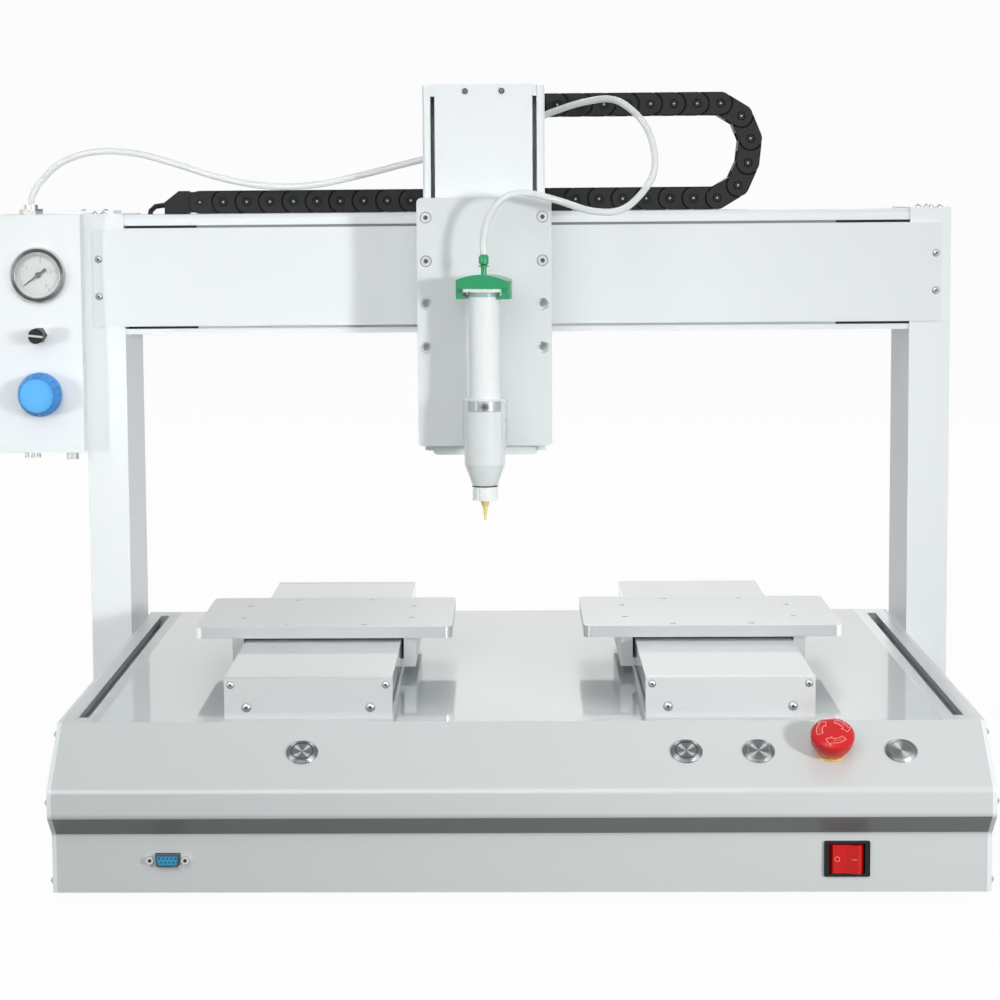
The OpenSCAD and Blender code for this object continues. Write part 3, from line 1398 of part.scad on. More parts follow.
module chain_anchor() at_deck() color(black) {
    inner_y = chain_w / 2 - link_wall - link_gap;
    translate([0, chain_y, 0]) difference() {
        along_y(-chain_w / 2 + link_wall + link_gap, inner_y)
            polygon([[chain_fixed_x - anchor_l, beam_top], [chain_fixed_x - 10.5, beam_top],
                [chain_fixed_x - 10.5, chain_low_z + chain_h / 2],
                [chain_fixed_x - anchor_l + 12, chain_low_z + chain_h / 2],
                [chain_fixed_x - anchor_l, beam_top + 10]]);
        block([chain_fixed_x - anchor_l - 1, -6.5, beam_top + 3],
            [chain_fixed_x - 15, 6.5, chain_low_z + chain_h / 2 - 3]);
    }
    for (s = [-1, 1]) translate([0, chain_y + s * (inner_y - link_wall / 2), 0]) {
        along_y(-link_wall / 2, link_wall / 2) {
            translate([chain_fixed_x, chain_low_z]) circle(chain_h / 2 - 0.9);
            translate([chain_fixed_x - 11, chain_low_z - chain_h / 2 + 0.9])
                square([11, chain_h - 1.8]);
        }
    }
    for (s = [-1, 1]) translate([chain_fixed_x, chain_y + s * inner_y, chain_low_z])
        rotate([-s * 90, 0, 0]) cylinder(r = pin_r, h = link_wall + link_gap);
    tube([for (p = lead_route) [chain_fixed_x + p.x, chain_y, beam_top - 349 + p.y]], lead_r, 1,
        [-1, 0, 0], [0, 0, -1]);
}

module chain_arm() at_deck() color(alloy) {
    x0 = chain_moving_x - 20;
    x1 = chain_moving_x + 20;
    block([x0, head_y, shelf_top - shelf_t], [x1, chain_y + chain_w / 2, shelf_top]);
    block([x0, head_y, shelf_top - 12 * shelf_t], [x1, head_y + shelf_t, shelf_top]);
    // End bracket of the chain, on the shelf
    translate([0, chain_y, 0]) {
        along_y(-chain_w / 2, chain_w / 2) polygon([[x0, shelf_top - 0.02],
            [chain_moving_x - 10.5, shelf_top - 0.02], [chain_moving_x - 10.5, shelf_top + 4],
            [chain_moving_x - 20, shelf_top + 4]]);
        for (s = [-1, 1]) translate([0, s * (chain_w / 2 - link_wall / 2), 0])
            difference() {
                along_y(-link_wall / 2, link_wall / 2) {
                    translate([chain_moving_x, chain_top_z]) circle(chain_h / 2 - 0.1);
                    translate([chain_moving_x - 20, chain_top_z - chain_h / 2 + 0.05])
                        square([20, chain_h - 0.15]);
                }
                translate([chain_moving_x, 0, chain_top_z]) rotate([90, 0, 0])
                    cylinder(r = pin_r + fit_gap, h = 10, center = true);
            }
    }
    // Clip that holds the air tube
    translate(clip_at) {
        rotate([0, 90 - clip_tilt, 0]) difference() {
            cylinder(r = tube_d / 2 + 2, h = 8);
            up(-1) cylinder(r = tube_d / 2, h = 10);
        }
        block([1.5, -3, tube_d / 2 + 1.8], [6, 3, shelf_top - shelf_t + 0.1 - clip_at.z]);
    }
}

// Air tube

// Point between p1 and p2 on a smooth curve
function smooth_point(p0, p1, p2, p3, t) = 0.5 * (2 * p1 + (p2 - p0) * t
    + (2 * p0 - 5 * p1 + 4 * p2 - p3) * t * t + (3 * p1 - p0 - 3 * p2 + p3) * t * t * t);

function smooth_route(route, steps) = let(last = len(route) - 1)
    concat([for (i = [0:last - 1], k = [0:steps - 1]) smooth_point(route[max(i - 1, 0)], route[i],
        route[i + 1], route[min(i + 2, last)], k / steps)], [route[last]]);

function unit(v) = v / norm(v);

// Unit vectors along the path
function headings(path) = let(last = len(path) - 1)
    [for (i = [0:last]) unit(path[min(i + 1, last)] - path[max(i - 1, 0)])];

// A direction square to each heading, without twist
function square_dirs(heads, i = 0, dirs = []) = i == len(heads) ? dirs :
    let(from = i == 0 ? [0, 1, 0] : dirs[i - 1],
        d = unit(from - heads[i] * (from * heads[i])))
    square_dirs(heads, i + 1, concat(dirs, [d]));

// The route moved so that its ends lie on two places
function tied(route, start, end) = let(last = len(route) - 1)
    [for (i = [0:last]) let(w = min(max((i - 2) / (last - 4), 0), 1))
        route[i] + (1 - w) * (start - route[0]) + w * (end - route[last])];

// Round tube, its end faces square to first and final
module tube(route, r, steps, first, final) {
    sides = tube_sides;
    path = smooth_route(route, steps);
    n = len(path);
    inner = headings(path);
    heads = [for (i = [0:n - 1]) i == 0 ? unit(first) : i == n - 1 ? unit(final) : inner[i]];
    dirs = square_dirs(heads);
    points = [for (i = [0:n - 1], k = [0:sides - 1]) let(a = 360 * k / sides)
        path[i] + r * (cos(a) * dirs[i] + sin(a) * cross(heads[i], dirs[i]))];
    faces = concat([[for (k = [0:sides - 1]) k]],
        [for (i = [0:n - 2], k = [0:sides - 1]) [i * sides + k, (i + 1) * sides + k,
            (i + 1) * sides + (k + 1) % sides, i * sides + (k + 1) % sides]],
        [[for (k = [sides - 1:-1:0]) (n - 1) * sides + k]]);
    polyhedron(points, faces);
}

module air_tube_rear() at_deck() color(alloy)
    tube(tied(rear_route, [top_fitting_x, top_fitting_y, col_h + top_fitting_h], clip_at),
        tube_d / 2, 2, [0, 0, 1], [20, 0, 7]);

module air_tube_front() at_deck() color(alloy)
    tube(tied(front_route, clip_at, [head_x, syringe_y, barb_top]), tube_d / 2, 2,
        [20, 0, 7], [0, 0, -1]);

base_frame();
base_tray();
front_panel();
side_plates();
deck_panel();
rubber_feet();
machine_screws();
columns();
cross_beam();
beam_cover();
guide_rails();
drive_belts();
stepper_motors();
y_bases();
y_covers();
y_end_plates();
valve_box();
gauge_case();
gauge_lens();
air_fittings();
control_bezels();
panel_sockets();
electronics();
chain_lower();
chain_anchor();
air_tube_rear();
x_carriage();
z_channel();
z_cover();
z_motor();
chain_upper();
chain_arm();
air_tube_front();
chain_bend();
z_carriage();
tool_plate();
plate_screws();
holder_bracket();
holder_sleeve();
syringe_barrel();
adapter_cap();
needle_tip();
ball_screw();
y_table(-1);  // y1_table
y_table(1);  // y2_table
x_drive_pulley();
x_idler_pulley();
y_drive(-1);  // y1_drive_pulley
y_idler(-1);  // y1_idler_pulley
y_drive(1);  // y2_drive_pulley
y_idler(1);  // y2_idler_pulley
push_button(0);  // button_1
push_button(1);  // button_2
push_button(2);  // button_3
push_button(3);  // button_4
stop_head();
rocker();
regulator_knob();
valve_knob();
gauge_pointer();
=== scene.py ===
"""Visible pieces and finishes of a desktop gantry dispensing machine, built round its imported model."""
import json
import math

import bmesh
import bpy
from bpy.props import FloatProperty, FloatVectorProperty, IntProperty, PointerProperty
from bpy.types import Operator, Panel, PropertyGroup
from mathutils import Matrix, Vector


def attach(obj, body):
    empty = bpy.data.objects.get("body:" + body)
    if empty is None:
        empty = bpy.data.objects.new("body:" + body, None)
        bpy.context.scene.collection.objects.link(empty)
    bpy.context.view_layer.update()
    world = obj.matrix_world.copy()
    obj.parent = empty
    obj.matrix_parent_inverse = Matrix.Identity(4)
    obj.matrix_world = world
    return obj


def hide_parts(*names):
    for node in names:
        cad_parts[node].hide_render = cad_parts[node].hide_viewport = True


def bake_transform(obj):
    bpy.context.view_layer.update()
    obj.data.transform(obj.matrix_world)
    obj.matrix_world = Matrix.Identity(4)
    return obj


bl_info = {
    "name": "Dispensing machine",
    "version": (1, 0, 0),
    "blender": (4, 5, 0),
    "location": "3D View > Sidebar > Dispenser",
    "description": "Builds the visible pieces and finishes of a desktop dispensing machine",
    "category": "Object",
}

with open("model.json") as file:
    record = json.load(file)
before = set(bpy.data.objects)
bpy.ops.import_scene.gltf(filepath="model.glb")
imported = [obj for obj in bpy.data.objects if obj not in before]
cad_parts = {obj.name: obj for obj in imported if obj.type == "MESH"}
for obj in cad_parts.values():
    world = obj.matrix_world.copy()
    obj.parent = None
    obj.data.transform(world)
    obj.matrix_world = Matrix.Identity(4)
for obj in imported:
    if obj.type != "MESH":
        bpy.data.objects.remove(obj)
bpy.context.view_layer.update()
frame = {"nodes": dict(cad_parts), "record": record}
nodes = frame["nodes"]

MM = 0.001
BASE = "cabinet_and_gantry"
RIGHT, FRONT, UP = (1, 0, 0), (0, -1, 0), (0, 0, 1)
# Machine zero (cabinet middle, deck front edge, deck surface) in the frame, in millimetres
MACHINE_ZERO = Vector((38.0, -230.0, 120.5))


def at(x, y, z):
    """A place given in machine millimetres, as a point in the frame."""
    return (MACHINE_ZERO + Vector((x, y, z))) * MM


def srgb(red, green, blue):
    """Linear colour from 0 to 255 screen values."""

    def linear(value):
        value /= 255.0
        return value / 12.92 if value <= 0.04045 else ((value + 0.055) / 1.055) ** 2.4

    return (linear(red), linear(green), linear(blue))


# Places on the front panel, in machine millimetres: first on its slope, then on the upright fascia
SLOPE_FALL, SLOPE_RUN = 37, 54
SLOPE = math.atan2(SLOPE_FALL, SLOPE_RUN)
SLOPE_OUT = Vector((0, -math.sin(SLOPE), math.cos(SLOPE)))
SLOPE_DOWN = Vector((0, -math.cos(SLOPE), -math.sin(SLOPE)))
CONTROL_DOWN = 30.0
BUTTONS = (-149.4, 114.5, 163.9, 261.2)
STOP_X = 213.3
NOSE_FOOT_Z, FASCIA_TOP_Z = -56.5, -71.0
FASCIA_Y, FASCIA_Z = -35.3, -89.1
ROCKER_X, ROCKER_HALF, ROCKER_TOP_Z = 223.4, 18.0, -70.0
ROCKER_TILT = math.radians(9)
SOCKET_X, SHELL_HALF = -242.1, 9.5

# Places on the head and the air box, in machine millimetres
HEAD_X = -25.0
SYRINGE_Y = 272.0
CLAMP_LOW_Z, CLAMP_TOP_Z = 195.0, 203.5
GAUGE = (-390.0, 367.0, 301.0)
VALVE = (-390.0, 367.0, 252.0)


# Sizes and colours that a user may change

def colour_property(name, description, default):
    return FloatVectorProperty(
        name=name, description=description, subtype="COLOR", size=3, min=0, max=1, default=default
    )


def length_property(name, description, default):
    return FloatProperty(name=name, description=description, unit="LENGTH", default=default, min=0)


class FinishSettings(PropertyGroup):
    powder_coat: colour_property(
        "Powder coat", "Columns, beam, covers and side plates", srgb(238, 243, 245)
    )
    deck: colour_property("Deck", "Deck panel between the side rails", srgb(181, 189, 191))
    front_sheet: colour_property("Front sheet", "Bent front panel", srgb(209, 214, 214))
    alloy: colour_property("Alloy", "Side rails, base plates and brackets", srgb(190, 195, 196))
    beam: colour_property("Beam cover", "Front cover of the beam", srgb(232, 237, 239))
    plate: colour_property("Plate", "Tables", srgb(208, 213, 214))
    cover: colour_property("Module cover", "Covers of the Y modules", srgb(191, 196, 197))
    end_plate: colour_property("End plates", "End plates of the Y modules", srgb(180, 185, 186))
    tool: colour_property("Tool plate", "Tool plate on the Z module", srgb(219, 224, 225))
    steel: colour_property("Steel", "Screws, rails and pulleys", srgb(186, 190, 192))
    nickel: colour_property("Nickel", "Buttons and fittings", srgb(205, 206, 204))
    chain: colour_property("Chain", "Energy chain", srgb(24, 26, 28))
    stop_red: colour_property("Stop red", "Emergency stop head", srgb(208, 20, 24))
    knob_blue: colour_property("Knob blue", "Regulator knob", srgb(70, 160, 236))
    adapter_green: colour_property("Adapter green", "Cap on the syringe", srgb(18, 156, 100))
    needle_amber: colour_property("Needle amber", "Tapered needle", srgb(240, 220, 142))
    clear: colour_property("Clear plastic", "Syringe, sleeve and air tube", srgb(246, 251, 251))


class TubeSettings(PropertyGroup):
    diameter: length_property("Diameter", "Outer diameter of the air tube", 0.0055)
    sides: IntProperty(name="Sides", description="Sides of the air tube", default=20, min=8, max=48)


class ChainSettings(PropertyGroup):
    pitch: length_property("Pitch", "Distance between two pivots in the chain's bend", 0.0202)
    height: length_property("Height", "Height of a link", 0.019)
    width: length_property("Width", "Width of a link", 0.027)


class StageSettings(PropertyGroup):
    lens: FloatProperty(name="Lens", description="Focal length", unit="CAMERA", default=100.8)
    key: FloatProperty(name="Key light", description="Power of the right light", default=1.5, min=0)
    box: FloatProperty(name="Box light", description="Power of the left light", default=0.24, min=0)
    fill: FloatProperty(name="Fill light", description="Power of the front light", default=30.5, min=0)
    back: FloatProperty(name="Back light", description="Power of the rear light", default=10.0, min=0)
    sky: FloatProperty(name="Sky", description="Strength of the world light", default=0.38, min=0)


class DispenserSettings(PropertyGroup):
    finish: PointerProperty(type=FinishSettings, name="Finish", description="Colours")
    tube: PointerProperty(type=TubeSettings, name="Air tube", description="Air tube")
    chain: PointerProperty(type=ChainSettings, name="Chain", description="Energy chain")
    stage: PointerProperty(type=StageSettings, name="Stage", description="Camera and lights")


def settings():
    return bpy.context.scene.dispenser


# Shader node helpers

def feed(tree, socket, value):
    """Links another node's output to a socket, or sets the socket's own value."""
    if isinstance(value, bpy.types.NodeSocket):
        tree.links.new(value, socket)
    else:
        socket.default_value = value


def math_node(tree, operation, first, second=0.0, clamp=False):
    node = tree.nodes.new("ShaderNodeMath")
    node.operation = operation
    node.use_clamp = clamp
    feed(tree, node.inputs[0], first)
    feed(tree, node.inputs[1], second)
    return node.outputs[0]


def scaled(tree, value, factor, offset, clamp=False):
    """The value times a factor, plus an offset."""
    return math_node(tree, "ADD", math_node(tree, "MULTIPLY", value, factor), offset, clamp)


def noise(tree, scale, vector, detail, roughness=0.55):
    node = tree.nodes.new("ShaderNodeTexNoise")
    feed(tree, node.inputs["Vector"], vector)
    feed(tree, node.inputs["Scale"], scale)
    node.inputs["Detail"].default_value = detail
    node.inputs["Roughness"].default_value = roughness
    return node.outputs["Fac"]


def object_place(tree):
    return tree.nodes.new("ShaderNodeTexCoord").outputs["Object"]


def scaled_colour(tree, colour, shade):
    """The colour made lighter or darker by a factor that changes over the surface."""
    node = tree.nodes.new("ShaderNodeVectorMath")
    node.operation = "SCALE"
    tree.links.new(colour, node.inputs[0])
    tree.links.new(shade, node.inputs["Scale"])
    return node.outputs[0]


# Shared texture groups

# Per metre: patches of the grain's colour drift, patches of its smudges, and radians of the turned rings
DRIFT_SCALE, SMUDGE_SCALE, RINGS_SCALE = 9.0, 55.0, 26000.0
SURFACE_OUTPUTS = (
    ("Colour", "NodeSocketColor"),
    ("Roughness", "NodeSocketFloat"),
    ("Height", "NodeSocketFloat"),
)


def new_group(name, inputs, outputs):
    """A shader node group, what it is given and what it puts out; inputs are (name, type, default)."""
    group = bpy.data.node_groups.new(name, "ShaderNodeTree")
    for label, kind, default in inputs:
        socket = group.interface.new_socket(label, in_out="INPUT", socket_type=kind)
        socket.default_value = default
    for label, kind in outputs:
        group.interface.new_socket(label, in_out="OUTPUT", socket_type=kind)
    given = group.nodes.new("NodeGroupInput").outputs
    result = group.nodes.new("NodeGroupOutput").inputs
    return group, given, result


def put_out(group, result, colour, roughness, height):
    group.links.new(colour, result["Colour"])
    group.links.new(roughness, result["Roughness"])
    group.links.new(height, result["Height"])


def build_grain_group():
    """Fine surface grain with slow colour drift: powder coat, blasted alloy and moulded plastic."""
    group, given, result = new_group(
        "surface_grain",
        [
            ("Colour", "NodeSocketColor", (0.8, 0.8, 0.8, 1)),
            ("Grain Size", "NodeSocketFloat", 0.0008),
            ("Drift", "NodeSocketFloat", 0.03),
            ("Roughness", "NodeSocketFloat", 0.4),
            ("Roughness Drift", "NodeSocketFloat", 0.05),
        ],
        SURFACE_OUTPUTS,
    )
    place = object_place(group)
    grain = noise(group, math_node(group, "DIVIDE", 1.0, given["Grain Size"]), place, 2.0)
    drift = math_node(group, "SUBTRACT", noise(group, DRIFT_SCALE, place, 4.0), 0.5)
    smudge = math_node(group, "SUBTRACT", noise(group, SMUDGE_SCALE, place, 5.0, 0.65), 0.5)
    bright = scaled(group, drift, given["Drift"], 1.0)
    rough = scaled(group, smudge, given["Roughness Drift"], given["Roughness"], True)
    put_out(group, result, scaled_colour(group, given["Colour"], bright), rough, grain)
    return group


def build_tool_lines_group():
    """Turned or brushed metal: fine lines along one direction, with roughness that follows them."""
    group, given, result = new_group(
        "tool_lines",
        [
            ("Colour", "NodeSocketColor", (0.6, 0.6, 0.6, 1)),
            ("Line Stretch", "NodeSocketVector", (1, 1, 30)),
            ("Line Scale", "NodeSocketFloat", 120.0),
            ("Roughness", "NodeSocketFloat", 0.3),
        ],
        SURFACE_OUTPUTS,
    )
    stretched = group.nodes.new("ShaderNodeVectorMath")
    stretched.operation = "MULTIPLY"
    group.links.new(object_place(group), stretched.inputs[0])
    group.links.new(given["Line Stretch"], stretched.inputs[1])
    lines = noise(group, given["Line Scale"], stretched.outputs[0], 3.0)
    shade = scaled(group, lines, 0.16, 0.92)
    centred = math_node(group, "SUBTRACT", lines, 0.5)
    rough = scaled(group, centred, 0.2, given["Roughness"], True)
    put_out(group, result, scaled_colour(group, given["Colour"], shade), rough, lines)
    return group


def build_spun_sheen_group():
    """Face-turned metal seen from above: painted highlights as bright and dark wedges round the middle,
    over fine rings.
    """
    group, given, result = new_group(
        "spun_face",
        [
            ("Colour", "NodeSocketColor", (0.6, 0.6, 0.6, 1)),
            ("Wedges", "NodeSocketFloat", 2.0),
            ("Phase", "NodeSocketFloat", 0.9),
            ("Roughness", "NodeSocketFloat", 0.26),
        ],
        SURFACE_OUTPUTS,
    )
    parts = group.nodes.new("ShaderNodeSeparateXYZ")
    group.links.new(object_place(group), parts.inputs["Vector"])
    x, y = parts.outputs["X"], parts.outputs["Y"]
    turn = scaled(group, math_node(group, "ARCTAN2", y, x), given["Wedges"], given["Phase"])
    wave = math_node(group, "ADD", math_node(group, "COSINE", turn), 1.0)
    sharp = math_node(group, "POWER", math_node(group, "MULTIPLY", wave, 0.5), 4.0)
    shade = scaled(group, sharp, 1.5, 0.5)
    square = math_node(group, "ADD", math_node(group, "MULTIPLY", x, x),
                       math_node(group, "MULTIPLY", y, y))
    radius = math_node(group, "SQRT", square)
    rings = math_node(group, "SINE", math_node(group, "MULTIPLY", radius, RINGS_SCALE))
    rough = scaled(group, rings, 0.04, given["Roughness"], True)
    put_out(group, result, scaled_colour(group, given["Colour"], shade), rough, rings)
    return group


def build_edge_group():
    """Slight lightening along sharp edges."""
    group, given, result = new_group(
        "edge_touch",
        [
            ("Colour", "NodeSocketColor", (0.8, 0.8, 0.8, 1)),
            ("Edge Colour", "NodeSocketColor", (1, 1, 1, 1)),
            ("Amount", "NodeSocketFloat", 0.3),
        ],
        [("Colour", "NodeSocketColor")],
    )
    ramp = group.nodes.new("ShaderNodeMapRange")
    ramp.inputs["From Min"].default_value = 0.51
    ramp.inputs["From Max"].default_value = 0.60
    point = group.nodes.new("ShaderNodeNewGeometry").outputs["Pointiness"]
    group.links.new(point, ramp.inputs["Value"])
    # Among this node's sockets, inputs 6 and 7 are its colours and output 2 their mix
    mix = group.nodes.new("ShaderNodeMix")
    mix.data_type = "RGBA"
    amount = math_node(group, "MULTIPLY", ramp.outputs[0], given["Amount"], True)
    group.links.new(amount, mix.inputs[0])
    group.links.new(given["Colour"], mix.inputs[6])
    group.links.new(given["Edge Colour"], mix.inputs[7])
    group.links.new(mix.outputs[2], result["Colour"])
    return group


# Materials

groups = {}
materials = {}
# Painted shade: how much darker the underside of the nose is painted than the rest of the front sheet
UNDERCUT_SHADE = 0.31


def start_material(name):
    material = bpy.data.materials.new(name)
    material.use_nodes = True
    materials[name] = material
    return material.node_tree, material.node_tree.nodes["Principled BSDF"].inputs


def use_group(tree, name, **values):
    node = tree.nodes.new("ShaderNodeGroup")
    node.node_tree = groups[name]
    for key, value in values.items():
        node.inputs[key.replace("_", " ")].default_value = value
    return node


def add_relief(tree, shader, height, depth):
    bump = tree.nodes.new("ShaderNodeBump")
    bump.inputs["Distance"].default_value = depth
    tree.links.new(height, bump.inputs["Height"])
    tree.links.new(bump.outputs["Normal"], shader["Normal"])


def grain_material(name, colour, roughness, grain=0.0008, relief=0.00002, metallic=0.0, coat=0.0,
                   drift=0.03, edge=0.0, coat_rough=0.1, specular=0.5):
    tree, shader = start_material(name)
    texture = use_group(tree, "surface_grain", Colour=(*colour, 1), Grain_Size=grain, Drift=drift,
                        Roughness=roughness, Roughness_Drift=0.06)
    # Lightens the colour along sharp edges
    edge_lightened = use_group(tree, "edge_touch", Amount=edge)
    tree.links.new(texture.outputs["Colour"], edge_lightened.inputs["Colour"])
    tree.links.new(edge_lightened.outputs["Colour"], shader["Base Color"])
    tree.links.new(texture.outputs["Roughness"], shader["Roughness"])
    add_relief(tree, shader, texture.outputs["Height"], relief)
    shader["Metallic"].default_value = metallic
    shader["Coat Weight"].default_value = coat
    shader["Coat Roughness"].default_value = coat_rough
    shader["Specular IOR Level"].default_value = specular


def metal_material(name, texture_group, metallic, **values):
    """Bare metal with the texture of one group, for which values holds the inputs."""
    tree, shader = start_material(name)
    texture = use_group(tree, texture_group, **values)
    tree.links.new(texture.outputs["Colour"], shader["Base Color"])
    tree.links.new(texture.outputs["Roughness"], shader["Roughness"])
    add_relief(tree, shader, texture.outputs["Height"], 0.00001)
    shader["Metallic"].default_value = metallic


def line_material(name, colour, roughness, stretch, scale):
    metal_material(name, "tool_lines", 1.0, Colour=(*colour, 1), Line_Stretch=stretch,
                   Line_Scale=scale, Roughness=roughness)


def spun_sheen_material(name, colour, wedges, phase):
    """Face-turned metal: painted highlights as bright and dark wedges round the piece's own middle, over
    fine rings.
    """
    metal_material(name, "spun_face", 0.75, Colour=(*colour, 1), Wedges=wedges, Phase=phase,
                   Roughness=0.26)


def clear_material(name, colour, alpha, roughness=0.12, coat=0.6):
    """Clear plastic whose rim reads denser than its middle, as a thin moulded wall does."""
    tree, shader = start_material(name)
    texture = use_group(tree, "surface_grain", Colour=(*colour, 1), Grain_Size=0.02, Drift=0.03,
                        Roughness=roughness, Roughness_Drift=0.05)
    tree.links.new(texture.outputs["Colour"], shader["Base Color"])
    tree.links.new(texture.outputs["Roughness"], shader["Roughness"])
    facing = tree.nodes.new("ShaderNodeLayerWeight")
    facing.inputs["Blend"].default_value = 0.45
    solid = scaled(tree, facing.outputs["Facing"], 1.0 - alpha, alpha, True)
    tree.links.new(solid, shader["Alpha"])
    shader["Coat Weight"].default_value = coat
    shader["Coat Roughness"].default_value = 0.05


def make_coats(look):
    """Powder coats, plated sheets and the faces of the tables."""
    grain_material("powder_coat", look.powder_coat, 0.42, grain=0.0011, relief=0.00003, coat=0.25,
                   coat_rough=0.25)
    grain_material("beam_coat", look.beam, 0.4, grain=0.0011, coat=0.25, coat_rough=0.2)
    grain_material("deck_coat", look.deck, 0.3, grain=0.002, relief=0.000006, coat=1.0,
                   coat_rough=0.04, drift=0.02)
    grain_material("front_coat", look.front_sheet, 0.34, grain=0.0011, relief=0.00001, coat=0.5,
                   coat_rough=0.12)
    # The underside of the nose: the front sheet darkened as painted shade
    grain_material("undercut", [v * UNDERCUT_SHADE for v in look.front_sheet], 0.4)
    grain_material("module_cover", look.cover, 0.3, grain=0.0015, relief=0.000004, coat=1.0,
                   coat_rough=0.05, drift=0.02)
    grain_material("plate_coat", look.plate, 0.34, grain=0.0007, relief=0.000012, coat=0.4,
                   coat_rough=0.15)
    grain_material("plate_side", srgb(192, 197, 199), 0.3, grain=0.0012, relief=0.000008,
                   coat=0.3, coat_rough=0.15, drift=0.25)
    # Painted highlight: near-white for the tables' chamfered corners, where the light catches them
    grain_material("cut_edge", srgb(250, 252, 252), 0.16, grain=0.002, relief=0.000004,
                   metallic=0.6, drift=0.02)
    grain_material("tool_coat", look.tool, 0.38, grain=0.0007, relief=0.000012, coat=0.3,
                   coat_rough=0.2)
    # Painted shade: the upper strip is painted darker than the lower one, for the shade in the upper
    # slot
    grain_material("strip_grey", srgb(138, 142, 144), 0.35, relief=0.0)
    grain_material("strip_light", srgb(212, 217, 218), 0.35, relief=0.0)


def make_metals(look):
    grain_material("anodised", look.alloy, 0.34, grain=0.0005, relief=0.000012, metallic=0.55,
                   drift=0.04, edge=0.3)
    grain_material("end_plate", look.end_plate, 0.3, grain=0.0006, relief=0.00001, metallic=0.2,
                   drift=0.1, edge=0.35)
    grain_material("band_grey", srgb(176, 181, 182), 0.3, relief=0.00001, metallic=0.3)
    grain_material("dark_metal", srgb(74, 77, 78), 0.35, relief=0.00001, metallic=0.5)
    # Dark grey: painted shade for the gaps round two buttons, screw sockets and the counterbores round
    # the tool plate's screws, and the clamp screw's dark head
    grain_material("ring_grey", srgb(70, 73, 74), 0.4, relief=0.0, metallic=0.4)
    # Painted highlight: light grey on the chain's pins stands in for the glint on each pivot
    grain_material("pin_grey", srgb(170, 173, 174), 0.3, relief=0.0, metallic=0.3)
    line_material("bright_steel", look.steel, 0.24, (1, 1, 1), 900.0)
    line_material("nickel", look.nickel, 0.2, (1, 1, 1), 700.0)
    line_material("ground_rail", look.steel, 0.2, (1, 25, 1), 90.0)
    # Painted highlights: these metals carry bright and dark wedges round each piece's middle
    spun_sheen_material("spun_steel", srgb(150, 154, 155), 2.0, 2.1)
    spun_sheen_material("spun_cross", srgb(146, 150, 151), 4.0, math.pi)
    spun_sheen_material("bezel_steel", srgb(98, 101, 102), 2.0, 0.9)


def make_plastics(look):
    """Moulded plastic, rubber and the circuit board."""
    grain_material("motor_black", srgb(30, 31, 33), 0.4, coat=0.1)
    grain_material("rubber", srgb(24, 24, 25), 0.75, grain=0.0009, relief=0.00006, drift=0.2)
    grain_material("chain_black", look.chain, 0.45, grain=0.0006, relief=0.00001, drift=0.12,
                   specular=0.25)
    grain_material("gloss_black", srgb(20, 21, 22), 0.25, grain=0.003, relief=0.000004, coat=0.1,
                   specular=0.25)
    grain_material("knob_black", srgb(18, 18, 20), 0.4, relief=0.00001, specular=0.3)
    grain_material("knob_blue", look.knob_blue, 0.42, relief=0.00001, drift=0.06, specular=0.3)
    # Painted light: the knob's front face, which faces the light, is a lighter copy of its blue
    grain_material("knob_face", srgb(98, 186, 250), 0.4, relief=0.00001, drift=0.04, specular=0.3)
    grain_material("stop_red", look.stop_red, 0.26, grain=0.002, relief=0.000004, coat=0.2,
                   specular=0.25)
    grain_material("stop_orange", srgb(250, 196, 96), 0.4, relief=0.00001, coat=0.3)
    grain_material("rocker_red", srgb(206, 8, 6), 0.2, grain=0.002, relief=0.000004, coat=0.2,
                   specular=0.25)
    grain_material("adapter_green", look.adapter_green, 0.22, grain=0.002, relief=0.000006,
                   coat=0.3, specular=0.35)
    # Painted shade of the green cap on the barrel
    grain_material("band_green", srgb(150, 180, 172), 0.3, relief=0.00001)
    grain_material("needle_amber", look.needle_amber, 0.3, grain=0.002, relief=0.000006, coat=0.4,
                   edge=0.1)
    grain_material("socket_blue", srgb(44, 156, 204), 0.4, relief=0.00001)
    grain_material("board", srgb(92, 100, 98), 0.6, drift=0.1)
    clear_material("clear_wall", look.clear, 0.86)
    clear_material("sleeve_wall", look.clear, 0.62, 0.2)
    clear_material("tube_wall", look.clear, 0.62)
    clear_material("lens_wall", srgb(240, 246, 248), 0.06, 0.02, 1.0)


def make_print():
    """Flat inks, the gauge's pointer, and painted shade: the dark of narrow gaps, holes and screw
    sockets.
    """
    for name, colour, roughness in (
        ("dial_white", srgb(246, 247, 246), 0.5),
        ("pointer_grey", srgb(84, 86, 88), 0.5),
        ("mark_grey", srgb(140, 143, 146), 0.6),
        ("mark_black", srgb(20, 20, 22), 0.6),
        ("mark_pink", srgb(255, 176, 168), 0.4),
    ):
        grain_material(name, colour, roughness, relief=0.0, drift=0.01)
    # Painted shade for narrow gaps, holes and screw sockets
    grain_material("dark_gap", srgb(16, 17, 18), 0.7, relief=0.0)


